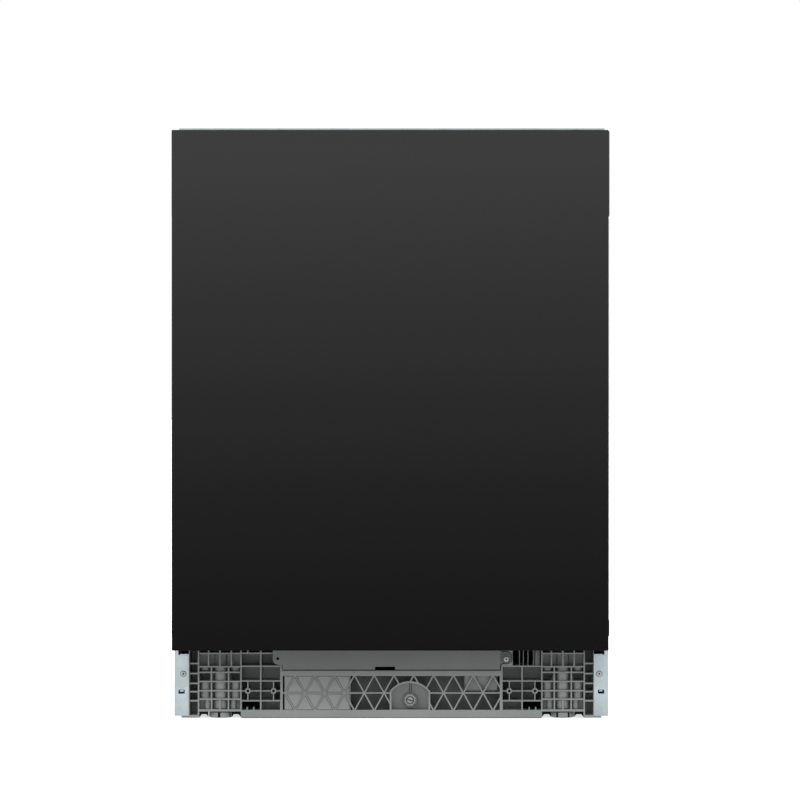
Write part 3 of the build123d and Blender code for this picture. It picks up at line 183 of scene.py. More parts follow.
# Moulded finishes: dark and light tone, roughness from and to, grain, and what is special to each
mouldedLooks = {
    "basePlastic": (0.188, 0.216, (0.42, 0.56), 1200.0, coolWithPaintedShade),
    # Lighter copy of the base plastic for the housing posts: painted light on columns that are one moulding
    # with the base
    "housingPaintedLightPlastic": (0.245, 0.275, (0.45, 0.6), 1200.0, coolWithPaintedShade),
    "barPlastic": (0.080, 0.095, (0.45, 0.6), 1200.0, cool),
    "darkPlastic": (0.036, 0.046, (0.4, 0.55), 1100.0, cool),
    # Dark tray plastic whose wide soft cloud paints blurry patches of light and shade behind the truss
    "trayPlasticWithLightPatches": (0.078, 0.108, (0.5, 0.65), 900.0, {**cool, "cloud": 14.0}),
    "coverPlastic": (0.20, 0.235, (0.45, 0.6), 1200.0, cool),
    # Dark plastic: the ear's own darker tone, and painted shade in grooves, under screw heads and round the
    # adjuster
    "earToneAndPaintedShade": (0.052, 0.062, (0.6, 0.7), 1200.0, cool),
    # Painted shade: near-black sheets set in gaps, hollows and slots where only shadow stands
    "paintedShadeBlack": (0.002, 0.005, (0.85, 0.95), 1200.0, {"specular": 0.05}),
    "footPlastic": (0.19, 0.22, (0.4, 0.5), 1200.0, cool),
    "boltSteel": (0.26, 0.34, (0.3, 0.45), 800.0, {"metallic": 0.7}),
    "screwZinc": ((0.34, 0.36, 0.37), (0.44, 0.46, 0.47), (0.35, 0.5), 800.0, {"metallic": 0.3}),
    "brushedTub": (0.40, 0.47, (0.26, 0.38), 500.0, {**brushed, "stretch": (1, 0.03, 1)}),
    "backSteel": (0.37, 0.43, (0.30, 0.42), 500.0, {**brushed, "stretch": (0.03, 1, 1)}),
    "brushedLiner": (0.50, 0.58, (0.24, 0.36), 500.0, {**brushed, "stretch": (0.03, 1, 1)}),
    "doorSheet": (0.56, 0.61, (0.35, 0.45), 500.0, {}),
    "sealRubber": (0.018, 0.026, (0.6, 0.75), 1500.0, {"sheen": 0.2}),
    "soundFelt": (0.012, 0.03, (0.8, 0.95), 350.0, {"depth": 0.0005, "strength": 0.6, "cloud": 60.0}),
    "sumpPlastic": (0.09, 0.11, (0.4, 0.5), 1000.0, {}),
    "pumpPlastic": (0.030, 0.042, (0.35, 0.5), 1000.0, {}),
    "paleFrost": (0.55, 0.62, (0.3, 0.4), 800.0, {**cool, "coat": 0.2}),
    "whitePlastic": (0.66, 0.72, (0.35, 0.45), 1000.0, {}),
    "armPlastic": (0.20, 0.23, (0.35, 0.45), 1000.0, {}),
    "wireCoat": (0.30, 0.34, (0.28, 0.38), 900.0, {**cool, "coat": 0.3}),
    "rackPlastic": (0.17, 0.20, (0.38, 0.48), 1000.0, {}),
    "keyPlastic": (0.03, 0.04, (0.25, 0.35), 1200.0, {"coat": 0.2}),
    "lidPlastic": (0.12, 0.14, (0.3, 0.4), 1200.0, {}),
    "smokedGlass": (0.006, 0.010, (0.05, 0.09), 300.0, {"strength": 0.02, "coat": 0.5}),
    "boardLacquer": ((0.01, 0.10, 0.04), (0.02, 0.14, 0.06), (0.2, 0.35), 300.0, {"cloud": 90.0}),
}
finishes = {name: moulded(name, *looks, **special) for name, (*looks, special) in mouldedLooks.items()}
# Painted reflection of a softbox in the glass: the panel's colour rises from dark at its foot to lighter at
# its head
panelReflectionTones = ((0.0, 0.0033), (0.1, 0.0045), (0.2, 0.0063), (0.3, 0.0080), (0.42, 0.0115), (0.48, 0.0126),
              (0.58, 0.0158), (0.67, 0.0179), (0.86, 0.0246), (0.96, 0.0278), (1.0, 0.0276))
finishes["panelSheetPaintedReflection"] = paintedReflectionSheet("panelSheetPaintedReflection", panelReflectionTones, 0.098, 0.806)
finishes["zincSheet"] = zinced("zincSheet", (0.311, 0.364, 0.38), (0.391, 0.443, 0.459))
finishes["piercedSteel"] = pierced("piercedSteel", 0.52, 0.02)
slotFinish = {
    "grey_plastic": "basePlastic", "dark_plastic": "darkPlastic", "black_gloss": "panelSheetPaintedReflection",
    "zinc_steel": "zincSheet", "stainless": "brushedTub", "door_sheet": "doorSheet",
    "foot_plastic": "footPlastic", "screw_steel": "boltSteel", "seal_rubber": "sealRubber",
    "bitumen": "soundFelt", "sump_plastic": "sumpPlastic", "clear_plastic": "paleFrost",
    "white_plastic": "whitePlastic", "arm_plastic": "armPlastic", "coated_wire": "wireCoat",
    "rack_plastic": "rackPlastic", "key_plastic": "keyPlastic", "window_glass": "smokedGlass",
    "circuit_board": "boardLacquer",
}
nodeFinish = {
    "toe_crossbar": "barPlastic", "base_tray": "trayPlasticWithLightPatches", "door_inner": "brushedLiner",
    "tub_back": "backSteel", "dispenser_body": "lidPlastic", "dispenser_lid": "lidPlastic",
    "rinse_cap": "lidPlastic", "adjuster_screw": "footPlastic", "front_screws": "screwZinc",
    "circulation_pump": "pumpPlastic", "drain_pump": "pumpPlastic", "filter_plate": "piercedSteel",
}
nodeSlot = {part["node"]: part["material_slot"] for part in frame["record"]["subparts"]}


def finishOf(node):
    return finishes[nodeFinish.get(node, slotFinish[nodeSlot[node]])]


for node, piece in nodes.items():
    for materialSlot in piece.material_slots:
        materialSlot.material = finishOf(node)
    if not piece.material_slots:
        piece.data.materials.append(finishOf(node))
print("materials made:", len(finishes))

bodyOf = {node: body for body, members in frame["record"]["behaviour"]["bodies"].items() for node in members}


# Quads between neighbouring rows and columns of a grid of points whose columns run all round
def gridFaces(rows, columns, wrapRows):
    row, column = (index.ravel() for index in np.indices((rows - (not wrapRows), columns)))
    start, below, beside = row * columns, (row + 1) % rows * columns, (column + 1) % columns
    return np.stack([start + column, start + beside, below + beside, below + column], axis=1)


def joined(shapes):
    points, faces, shift = [], [], 0
    for shapePoints, shapeFaces in shapes:
        points.append(shapePoints)
        faces += [[index + shift for index in face] for face in shapeFaces]
        shift += len(shapePoints)
    return np.concatenate(points), faces


def gridShape(grid, wrapRows=False):
    rows, columns = grid.shape[:2]
    faces = gridFaces(rows, columns, wrapRows).tolist()
    if not wrapRows:
        faces.append(list(range(columns))[::-1])
        faces.append(list(range((rows - 1) * columns, rows * columns)))
    return grid.reshape(-1, 3), faces


# Unit tangents of a path of points
def tangents(path, closed):
    if closed:
        change = np.roll(path, -1, axis=0) - np.roll(path, 1, axis=0)
    else:
        change = np.gradient(path, axis=0)
    return change / np.linalg.norm(change, axis=1, keepdims=True)


# A circle carried along a path: path + radius (cos a side + sin a normal), domed at open ends
def tube(path, radius, normal, sides=10, closed=False):
    path = np.asarray(path, float)
    normal = np.broadcast_to(np.asarray(normal, float), path.shape)
    tangent = tangents(path, closed)
    radii = np.full(len(path), float(radius))
    if not closed:
        lift = np.sin(np.array([1.0, 0.7, 0.35]) * np.pi / 2)[:, None] * radius
        small = np.cos(np.array([0.985, 0.7, 0.35]) * np.pi / 2) * radius
        path = np.concatenate([path[0] - tangent[0] * lift, path, path[-1] + tangent[-1] * lift[::-1]])
        radii = np.concatenate([small, radii, small[::-1]])
        normal = np.concatenate([normal[:1].repeat(3, 0), normal, normal[-1:].repeat(3, 0)])
        tangent = np.concatenate([tangent[:1].repeat(3, 0), tangent, tangent[-1:].repeat(3, 0)])
    side = np.cross(tangent, normal)
    side /= np.linalg.norm(side, axis=1, keepdims=True)
    upward = np.cross(side, tangent)
    angle = np.arange(sides) * 2 * np.pi / sides
    ring = np.cos(angle)[None, :, None] * side[:, None, :] + np.sin(angle)[None, :, None] * upward[:, None, :]
    return gridShape(path[:, None, :] + radii[:, None, None] * ring, wrapRows=closed)


# Corners of a bent wire rounded off by curves of about the given radius
def bentPath(corners, radius, steps=6, closed=False):
    corners = np.asarray(corners, float)
    pieces = []
    count = len(corners)
    for index in range(count):
        here = corners[index]
        if not closed and index in (0, count - 1):
            pieces.append(here[None])
            continue
        back, ahead = corners[index - 1] - here, corners[(index + 1) % count] - here
        legBack, legAhead = np.linalg.norm(back), np.linalg.norm(ahead)
        back, ahead = back / legBack, ahead / legAhead
        half = math.acos(max(-1.0, min(1.0, float(back @ ahead)))) / 2
        reach = min(radius / math.tan(half), 0.45 * min(legBack, legAhead))
        share = np.linspace(0, 1, steps)[:, None]
        start, end = here + back * reach, here + ahead * reach
        pieces.append((1 - share) ** 2 * start + 2 * share * (1 - share) * here + share ** 2 * end)
    return np.concatenate(pieces)


axisFrames = {
    "x": ((0, 1, 0), (0, 0, 1), (1, 0, 0)),
    "y": ((1, 0, 0), (0, 0, 1), (0, 1, 0)),
    "z": ((1, 0, 0), (0, 1, 0), (0, 0, 1)),
}


# Points (across, up, along) in an axis's own frame, set at a centre
def place(points, centre, axis):
    points = np.asarray(points, float)
    return points @ np.array(axisFrames[axis], float) + np.asarray(centre, float)


# A profile of (radius, along) turned about an axis; ripple(angle, along) may swell the radius
def turned(profile, centre, axis, steps=48, ripple=None):
    profile = np.asarray(profile, float)
    closed = bool(np.allclose(profile[0], profile[-1]))
    if closed:
        profile = profile[:-1]
    angle = np.arange(steps) * 2 * np.pi / steps
    radius = np.repeat(profile[:, :1], steps, axis=1)
    along = np.repeat(profile[:, 1:], steps, axis=1)
    if ripple is not None:
        radius = radius + ripple(angle[None, :], along) * (radius > 0)
    grid = np.stack([radius * np.cos(angle), radius * np.sin(angle), along], axis=-1)
    return gridShape(place(grid, centre, axis), wrapRows=closed)


# Profile of a plain turned bar with small edge breaks
def barProfile(radius, low, high, edge=0.4):
    return [(0, low), (radius - edge, low), (radius, low + edge), (radius, high - edge),
            (radius - edge, high), (0, high)]


# Closed profile of a ring with small edge breaks
def ringProfile(outer, inner, low, high, edge=0.3):
    return [(inner, low + edge), (inner + edge, low), (outer - edge, low), (outer, low + edge),
            (outer, high - edge), (outer - edge, high), (inner + edge, high), (inner, high - edge),
            (inner, low + edge)]


# Rows of a profile made denser along its straight run, so that a ripple shows
def dense(profile, step):
    profile = np.asarray(profile, float)
    rows = [profile[:1]]
    for here, ahead in zip(profile[:-1], profile[1:]):
        count = max(1, int(abs(ahead[1] - here[1]) / step))
        share = np.arange(1, count + 1)[:, None] / count
        rows.append(here + (ahead - here) * share)
    return np.concatenate(rows)


# Helical groove between two levels: the depth follows a saw of along / pitch - angle
def threadRipple(pitch, depth, low, high, hand=1):
    def ripple(angle, along):
        saw = np.abs(2 * ((along / pitch - hand * angle / (2 * np.pi)) % 1.0) - 1.0)
        return -depth * saw * (along > low) * (along < high)
    return ripple


# Grooves all round between two levels: the radius falls by the depth where cos(count x angle) is high
def flutes(count, depth, soft, low=-math.inf, high=math.inf):
    def ripple(angle, along):
        return -depth * ease(np.cos(count * angle), *soft) * (along > low) * (along < high)
    return ripple


# A round face whose surface follows relief(across, up), closed by a skirt down to a base level
def reliefDisc(radius, base, centre, axis, relief, rings=20, steps=72):
    share = np.concatenate([[0.004], np.linspace(0, 1, rings + 1)[1:]])
    angle = np.arange(steps) * 2 * np.pi / steps
    across = radius * share[:, None] * np.cos(angle)
    up = radius * share[:, None] * np.sin(angle)
    grid = np.stack([across, up, relief(across, up)], axis=-1)
    skirt = grid[-1:].copy()
    skirt[..., 2] = base
    return gridShape(place(np.concatenate([grid, skirt]), centre, axis))


# 0 below the low value, 1 above the high one, smooth between
def ease(value, low, high):
    share = np.clip((value - low) / (high - low), 0, 1)
    return share * share * (3 - 2 * share)


# A flat outline of (across, up) points carried along an axis from one depth to another
def slab(outline, low, high, axis, centre=(0, 0, 0)):
    outline = np.asarray(outline, float)
    grid = np.stack([np.column_stack([outline, np.full(len(outline), depth)]) for depth in (low, high)])
    return gridShape(place(grid, centre, axis))


def bar(x, y, z):
    return slab([(x[0], y[0]), (x[1], y[0]), (x[1], y[1]), (x[0], y[1])], z[0], z[1], "z")


# Outline of a bar that points away from a centre: its near and far end as (distance, half width)
def spokeOutline(angle, centre, near, far):
    along = np.array([math.cos(angle), math.sin(angle)])
    side = np.array([-math.sin(angle), math.cos(angle)])
    corners = ((near[0], -near[1]), (far[0], -far[1]), far, near)
    return np.array([along * reach + side * width + centre for reach, width in corners])


# Outline of a rectangle with rounded corners; the lower two may have a radius of their own
def roundedRect(u0, u1, v0, v1, radius, steps=5, lower=None):
    angle = np.linspace(0, np.pi / 2, steps)
    foot = radius if lower is None else lower
    corners = ((u1 - radius, v1 - radius, radius), (u0 + radius, v1 - radius, radius),
               (u0 + foot, v0 + foot, foot), (u1 - foot, v0 + foot, foot))
    arcs = []
    for turn, (u, v, size) in enumerate(corners):
        bearing = angle + turn * np.pi / 2
        arcs.append(np.column_stack([u + size * np.cos(bearing), v + size * np.sin(bearing)]))
    return np.concatenate(arcs)


# Outward unit normals of a path in a plane, run anticlockwise
def pathNormals(path, closed):
    tangent = tangents(path, closed)
    return np.column_stack([tangent[:, 1], -tangent[:, 0]])


# A profile of (outward, depth) points carried round a path in the X-Z plane
def swept(path, profile, closed=True, swell=None):
    path, profile = np.asarray(path, float), np.asarray(profile, float)
    normal = pathNormals(path, closed)
    outward = np.repeat(profile[None, :, 0], len(path), axis=0)
    depth = np.repeat(profile[None, :, 1], len(path), axis=0)
    if swell is not None:
        outward = outward + swell(path[:, None, 1], depth)
    flat = path[:, None, :] + outward[..., None] * normal[:, None, :]
    grid = np.stack([flat[..., 0], depth, flat[..., 1]], axis=-1)
    return gridShape(grid, wrapRows=closed)


def mirrored(shape):
    points, faces = shape
    return points * np.array([-1.0, 1.0, 1.0]), [face[::-1] for face in faces]


def bothSides(shapes):
    return shapes + [mirrored(shape) for shape in shapes]


# 1 up to a distance from zero, 0 past a further one, smooth between
def within(value, inside, outside):
    return ease(-np.abs(value), -outside, -inside)


def signedPower(value, power):
    return np.sign(value) * np.abs(value) ** power


def tidyMesh(mesh, merge=1e-6, flatten=False, turnOut=True):
    work = bmesh.new()
    work.from_mesh(mesh)
    bmesh.ops.remove_doubles(work, verts=work.verts, dist=merge)
    if flatten:
        bmesh.ops.dissolve_limit(work, angle_limit=math.radians(0.5), verts=work.verts, edges=work.edges)
    if turnOut:
        bmesh.ops.recalc_face_normals(work, faces=work.faces)
    work.to_mesh(mesh)
    work.free()


def addBevel(piece, width, segments):
    bevel = piece.modifiers.new("edge", "BEVEL")
    bevel.width = width * toMetres
    bevel.segments = segments
    bevel.limit_method = "ANGLE"
    bevel.angle_limit = math.radians(30)
    bevel.harden_normals = False
    bevel.use_clamp_overlap = True


# Makes a mesh a piece that rides with a node's body and has its slot
def settlePiece(name, mesh, node, finish, bevel, segments, smooth, stands):
    mesh.shade_smooth()
    mesh.set_sharp_from_angle(angle=math.radians(smooth))
    piece = bpy.data.objects.new(name, mesh)
    bpy.context.scene.collection.objects.link(piece)
    mesh.materials.clear()
    mesh.materials.append(finishes[finish] if finish else finishOf(node))
    if bevel:
        addBevel(piece, bevel, segments)
    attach(piece, bodyOf[node])
    if stands:
        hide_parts(node)


# Puts shapes in the scene as one piece that stands for a node, with that node's body, slot and finish
def addPiece(name, shapes, node, finish=None, bevel=0.0, segments=2, smooth=35, stands=True):
    points, faces = joined(shapes)
    mesh = bpy.data.meshes.new(name)
    mesh.from_pydata((points * toMetres).tolist(), [], faces)
    mesh.update()
    tidyMesh(mesh)
    settlePiece(name, mesh, node, finish, bevel, segments, smooth, stands)


# One more piece beside the one that stands for a node
def addDetail(name, shapes, node, finish=None, **looks):
    addPiece(name, shapes, node, finish, stands=False, **looks)


# The notches over the feet: where their corners are, and the upright sides that they are moved to
notch = {"levels": (8.9, 9.5), "reach": (207.0, 264.0), "middle": 236.4, "sides": (207.6, 264.9)}


def squareNotches(mesh):
    flat = np.empty(len(mesh.vertices) * 3)
    mesh.vertices.foreach_get("co", flat)
    x, _, z = flat.reshape(-1, 3).T
    (low, high), (near, far) = notch["levels"], notch["reach"]
    level, reach = z / toMetres, np.abs(x) / toMetres
    corners = (level > low) & (level < high) & (reach > near) & (reach < far)
    sides = np.where(reach > notch["middle"], notch["sides"][1], notch["sides"][0])
    x[corners] = (np.copysign(sides, x) * toMetres)[corners]
    mesh.vertices.foreach_set("co", flat)


# A copy of a node's own solid with its edges broken, as a mould or press leaves them
def softened(node, width):
    mesh = nodes[node].data.copy()
    if node == "base_front":
        squareNotches(mesh)
    tidyMesh(mesh, 2e-6, flatten=True, turnOut=False)
    settlePiece(node + "_soft", mesh, node, None, width, 2, 35, True)


edgeWidths = {
    "base_front": 0.3, "toe_crossbar": 0.5, "side_frame_left": 0.3, "side_frame_right": 0.3,
    "base_tray": 0.6, "console": 0.5, "hinge_covers": 0.6, "dispenser_body": 0.8, "dispenser_lid": 0.8,
    "door_latch": 0.5, "softener": 1.5, "air_breaker": 0.8, "upper_rails": 0.3, "upper_runners": 0.3,
    "top_stabiliser": 0.3, "cup_shelf_left": 0.6, "cup_shelf_right": 0.6, "filter_plate": 0.4, "sump": 1.0,
    "tub_floor": 0.8, "hinge_arms": 0.3, "insulation_mats": 0.8,
    **{"button_%d" % key: 0.5 for key in range(1, 6)}, "display_window": 0.3, "door_inner": 0.5,
    "door_outer": 0.3,
}
for node, width in edgeWidths.items():
    softened(node, width)
print("edges broken on", len(edgeWidths), "pieces")

frontPanel = {"half": 297.0, "low": 98.0, "high": 806.0, "corner": 0.8, "depth": (-285.0, -269.0),
              "edge": 0.6}
outline = roundedRect(-frontPanel["half"], frontPanel["half"], frontPanel["low"], frontPanel["high"],
                      frontPanel["corner"], 3)
addPiece("panelSlab", [slab(outline, *frontPanel["depth"], "y")], "front_panel", bevel=frontPanel["edge"],
         segments=3)
print("front panel made")

# Round sleeves over the base's bosses, all one moulding with the base, a hair proud of its front
sleeve = {"x": (162.6, 198.0), "z": 37.5, "ring": (3.9, 1.9, -230.12, -206.0)}
sleeves = [turned(ringProfile(*sleeve["ring"]), (x, 0, sleeve["z"]), "y", 40) for x in sleeve["x"]]
addDetail("baseSleeves", bothSides(sleeves), "base_front", "basePlastic")

# Swollen posts in the foot housings: middle, half width and front face of each, and its levels
housing = {"back": -214.0, "power": 0.7, "posts": (
    (236.4, 9.2, -225.0, ((13.0, 24.0), (24.5, 71.5))), (215.6, 6.9, -223.5, ((25.5, 50.5), (65.2, 71.2))),
    (257.2, 6.9, -223.5, ((25.5, 50.5), (65.2, 71.2))), (218.9, 4.7, -222.9, ((12.4, 24.4),)),
    (253.9, 4.7, -222.9, ((12.4, 24.4),)))}


# Section of a post: half an oval with a flattened front, x = half cos^power, y = back - depth sin^power
def postShapes(x, half, face, levels):
    angle = np.linspace(0, np.pi, 19)
    across = x + half * signedPower(np.cos(angle), housing["power"])
    depth = housing["back"] - (housing["back"] - face) * np.sin(angle) ** housing["power"]
    return [slab(np.column_stack([across, depth]), low, high, "z") for low, high in levels]


posts = [shape for post in housing["posts"] for shape in postShapes(*post)]
# The posts take a lighter copy of the base plastic: painted light
addDetail("housingPosts", bothSides(posts), "base_front", "housingPaintedLightPlastic", smooth=50)

# Painted shade: dark sheets for the shadowed hollows beside each foot, in steps from the notch's side, a
# painted shadow line under the base and a dark plug for the shade in the ear's hole
hollowShade = {"sides": ((207.7, 1), (264.8, -1)), "depth": (-229.7, -228.7),
          "outline": ((0, 10.0), (0, 1.9), (0.9, 2.6), (2.0, 4.4), (3.6, 5.4), (9.4, 5.4), (10.6, 4.4),
                      (11.6, 2.6), (12.4, 2.4), (12.4, 10.0)),
          "under": ((-206.8, 206.8), (-229.6, -228.0), (0.2, 0.95)),
          "hole": (2.25, -230.75, -230.1, 0.1), "holePlace": (-157.7, 0, 82.8)}
hollowShades = bothSides([slab([(x + hand * step, level) for step, level in hollowShade["outline"]],
                          *hollowShade["depth"], "y") for x, hand in hollowShade["sides"]])
hollowShades.append(bar(*hollowShade["under"]))
hollowShades.append(turned(barProfile(*hollowShade["hole"]), hollowShade["holePlace"], "y", 32))
addDetail("baseHollowShades", hollowShades, "base_front", "paintedShadeBlack")

# Painted shadow in the narrow gaps round the crossbar and the screw ear: half-sunk dark lines at a face,
# through (x, z) points
gapShadowLine = {"radius": 0.5, "bend": 3.0, "paths": (
    (-233.5, ((-149.6, 66.7), (149.6, 66.7))),
    (-230.2, ((-150.7, 74.6), (-150.7, 67.6))),
    (-230.2, ((150.8, 67.0), (150.8, 75.0), (160.5, 75.0), (166.2, 79.0), (166.2, 88.0), (160.5, 92.2),
              (151.2, 92.2))))}
lines = []
for face, corners in gapShadowLine["paths"]:
    path = bentPath([(x, face, z) for x, z in corners], gapShadowLine["bend"], 5)
    lines.append(tube(path, gapShadowLine["radius"], (0, 1, 0), 8))
addDetail("gapShadowLines", lines, "toe_crossbar", "paintedShadeBlack")
ear = {"outline": (151.4, 165.8, 75.4, 91.8, 4.5), "depth": (-230.5, -229.9)}
addDetail("earPlate", [slab(roundedRect(*ear["outline"]), *ear["depth"], "y")], "base_front", "earToneAndPaintedShade")

# Painted shade: a dark ring in the groove round the adjuster, and dark bars in two upright grooves above and
# below it
arch = {"ring": (10.8, 8.75, -226.5, -224.0, 0.2), "place": (25.6, 0, 24.4), "middle": 26.2, "pitch": 1.4,
        "half": 0.4, "depth": (-216.3, -214.8), "levels": ((11.9, 13.4), (35.3, 47.6))}
grooves = [turned(ringProfile(*arch["ring"]), arch["place"], "y", 72)]
for side in (-1, 1):
    x = arch["middle"] + side * arch["pitch"]
    grooves += [bar((x - arch["half"], x + arch["half"]), arch["depth"], levels) for levels in arch["levels"]]
addDetail("archGrooves", grooves, "base_front", "earToneAndPaintedShade")

# Deep shade in the lowest cell beside each foot housing, and in the open truss beside its closed part
shade = {"cell": ((181.7, 208.0), (-214.5, -213.8), (9.5, 20.5)),
         "corner": ((-59.9, -54.0), (-198.9, -197.9)),
         "levels": ((8.0, 18.7), (47.4, 60.0))}
shades = bothSides([bar(*shade["cell"])]) + [bar(*shade["corner"], levels) for levels in shade["levels"]]
addDetail("baseShades", shades, "base_tray", "paintedShadeBlack")

# Pale cover on the box that stands behind the truss
cover = {"x": (100.4, 146.5), "y": (-219.4, -211.9), "z": (36.6, 60.0)}
addDetail("valveCover", [bar(**cover)], "base_tray", "coverPlastic", bevel=0.8)

# Folded tab inside each bracket's slot, and a dark bar of painted shade in the slot's mouth
tab = {"y": (-231.3, -230.6), "left": ((-291.6, -286.4), (36.6, 38.9)),
       "right": ((286.7, 290.9), (37.1, 38.9))}
mouth = {"x": (284.6, 293.6), "y": (-230.5, -230.3), "z": (33.6, 40.2)}
for side, hand in (("left", -1), ("right", 1)):
    node = "side_frame_" + side
    across, levels = tab[side]
    addDetail(node + "_tab", [bar(across, tab["y"], levels)], node, bevel=0.15)
    across = sorted(hand * edge for edge in mouth["x"])
    addDetail(node + "_mouth", [bar(across, mouth["y"], mouth["z"])], node, "paintedShadeBlack")

# Screws at the brackets and the ear: x, face, z and the shank's radius of each
screw = {"radius": 3.4, "height": 2.2, "cross": 2.2, "arm": 0.5, "sink": 1.5, "shadow": (1.75, 0.5),
         "places": ((-286.6, -232.3, 61.5, 1.9), (286.6, -232.3, 61.5, 1.9), (158.4, -230.6, 81.5, 1.5))}


# Domed head: height = rise - 0.8 (r / R) squared, less a cross whose arms slope in at their ends
def screwShape(x, y, z, shank):
    def relief(across, up):
        far = np.hypot(across, up) / screw["radius"]
        dome = -screw["height"] + 0.8 * far ** 2 + 0.5 * ease(far, 0.88, 1.0)
        arms = [within(over, screw["arm"], screw["arm"] + 0.2) * within(along, 1.2, screw["cross"])
                for over, along in ((up, across), (across, up))]
        return dome + screw["sink"] * np.maximum(*arms)
    head = reliefDisc(screw["radius"], 0.0, (x, y, z), "y", relief, 24, 96)
    return [head, turned(barProfile(shank, -0.1, 6.0), (x, y, z), "y", 24)]


# Shadow in the cross and under the rim of a head
def screwShadow(x, y, z):
    floor = y - screw["height"] + screw["sink"]
    arms = [slab(roundedRect(-across, across, -up, up, 0.4), floor - 0.55, floor + 0.1, "y", (x, 0, z))
            for across, up in (screw["shadow"], screw["shadow"][::-1])]
    ring = ringProfile(screw["radius"] + 0.75, screw["radius"] - 0.1, y - 0.35, y + 0.3, 0.1)
    return arms + [turned(ring, (x, 0, z), "y", 48)]


heads = [shape for spot in screw["places"] for shape in screwShape(*spot)]
addPiece("screwHeads", heads, "front_screws", smooth=50)
shadows = [shape for spot in screw["places"] for shape in screwShadow(*spot[:3])]
addDetail("screwShadows", shadows, "front_screws", "earToneAndPaintedShade")

adjuster = {"place": (25.6, 0, 24.4), "front": -225.0, "head": 8.0, "thick": 8.0, "slot": 3.6, "gap": 0.6,
            "tilt": -0.26, "inner": 4.5, "outer": 5.5, "rod": (3.5, -218.0, 233.0),
            "shadow": (-3.5, 3.5, -0.55, 0.55, 0.5), "shadowDepth": (-223.8, -222.3),
            "ring": (5.35, 4.65, -224.3, -223.0, 0.1)}
cosTilt, sinTilt = math.cos(adjuster["tilt"]), math.sin(adjuster["tilt"])


# Slotted face inside a ring: a round groove between them, and the slot turned by the tilt
def adjusterFace(across, up):
    far = np.hypot(across, up)
    along, over = across * cosTilt + up * sinTilt, up * cosTilt - across * sinTilt
    slot = within(over, adjuster["gap"], adjuster["gap"] + 0.2)
    slot = slot * within(along, adjuster["slot"], adjuster["slot"] + 0.6)
    groove = ease(far, adjuster["inner"] - 0.2, adjuster["inner"])
    groove = groove * within(far, adjuster["outer"], adjuster["outer"] + 0.2)
    return 0.5 * ease(far, adjuster["head"] - 0.5, adjuster["head"]) + 2.6 * slot + 1.8 * groove


x, _, z = adjuster["place"]
head = reliefDisc(adjuster["head"], adjuster["thick"], (x, adjuster["front"], z), "y", adjusterFace, 44, 120)
rod = turned(barProfile(*adjuster["rod"]), adjuster["place"], "y", 24)
addPiece("adjusterKnob", [head, rod], "adjuster_screw", smooth=40)
outline = roundedRect(*adjuster["shadow"]) @ np.array([[cosTilt, sinTilt], [-sinTilt, cosTilt]])
shadows = [slab(outline, *adjuster["shadowDepth"], "y", adjuster["place"]),
           turned(ringProfile(*adjuster["ring"]), adjuster["place"], "y", 72)]
addDetail("adjusterShadow", shadows, "adjuster_screw", "earToneAndPaintedShade")

foot = {"radius": 16.5, "disc": 8.0, "stem": 5.0, "slots": 6, "halfSlot": 1.35, "bite": 4.0, "pitch": 1.75,
        "thread": 0.55, "shadow": ((11.0, 1.5), (15.3, 1.5))}
# Place, the stem's top and the turn of each foot
feet = {"front_foot_left": (-236.4, -212.0, 87.0, -1.66), "front_foot_right": (236.4, -212.0, 87.0, -2.08),
        "rear_foot": (25.6, 240.0, 74.0, 0.0)}


# Disc cut by square slots: near each slot's middle the radius falls by the bite; a helical groove on the stem
def footShape(x, y, top, turn):
    step = 2 * np.pi / foot["slots"]

    def slots(angle, along):
        fromSlot = np.abs((angle - turn + step / 2) % step - step / 2)
        near = 1 - ease(fromSlot * foot["radius"], foot["halfSlot"], foot["halfSlot"] + 0.35)
        return -foot["bite"] * near * (along > -1) * (along < foot["disc"] - 0.4)
    rim, thick = foot["radius"], foot["disc"]
    profile = [(rim - 6, 0), (rim - 1.4, 0), (rim - 0.4, 0.4), (rim, 1.3), (rim, thick - 1.4),
               (rim - 0.3, thick - 0.6), (rim - 1.3, thick - 0.1), (rim - 6, thick)]
    hub = turned([(0, 0), (rim - 5.9, 0), (rim - 5.9, thick), (0, thick)], (x, y, 0), "z", 60)
    disc = turned(profile + profile[:1], (x, y, 0), "z", 288, slots)
    groove = threadRipple(foot["pitch"], foot["thread"], thick, top - 1)
    rows = dense(barProfile(foot["stem"], thick - 1, top), foot["pitch"] / 5)
    return [disc, hub, turned(rows, (x, y, 0), "z", 20, groove)]


# Shadow inside each slot: a bar set back from the rim
def slotShadows(x, y, turn):
    angles = turn + np.arange(foot["slots"]) * 2 * np.pi / foot["slots"]
    return [slab(spokeOutline(angle, (x, y), *foot["shadow"]), 0.5, foot["disc"] - 1.2, "z")
            for angle in angles]


for node, (x, y, top, turn) in feet.items():
    addPiece(node + "_turned", footShape(x, y, top, turn), node)
    addDetail(node + "_slots", slotShadows(x, y, turn), node, "paintedShadeBlack")
print("base fittings made")

tub = {"half": 276.0, "top": 776.0, "low": 118.0, "wall": 1.2, "corner": 26.0, "mouth": -214.0, "back": 258.0,
       "flange": 12.0, "beads": (260.0, 420.0), "rise": 2.5, "beadWidth": 5.0}


# Half rounds pressed outward along the sides: rise (1 - (distance / width) squared), faded at both ends
def beadSwell(level, depth):
    rise = sum(np.clip(1 - ((level - bead) / tub["beadWidth"]) ** 2, 0, None) for bead in tub["beads"])
    start = ease(depth, tub["mouth"] + 38, tub["mouth"] + 46)
    return tub["rise"] * rise * (start * ease(-depth, -tub["back"] + 28, -tub["back"] + 36))


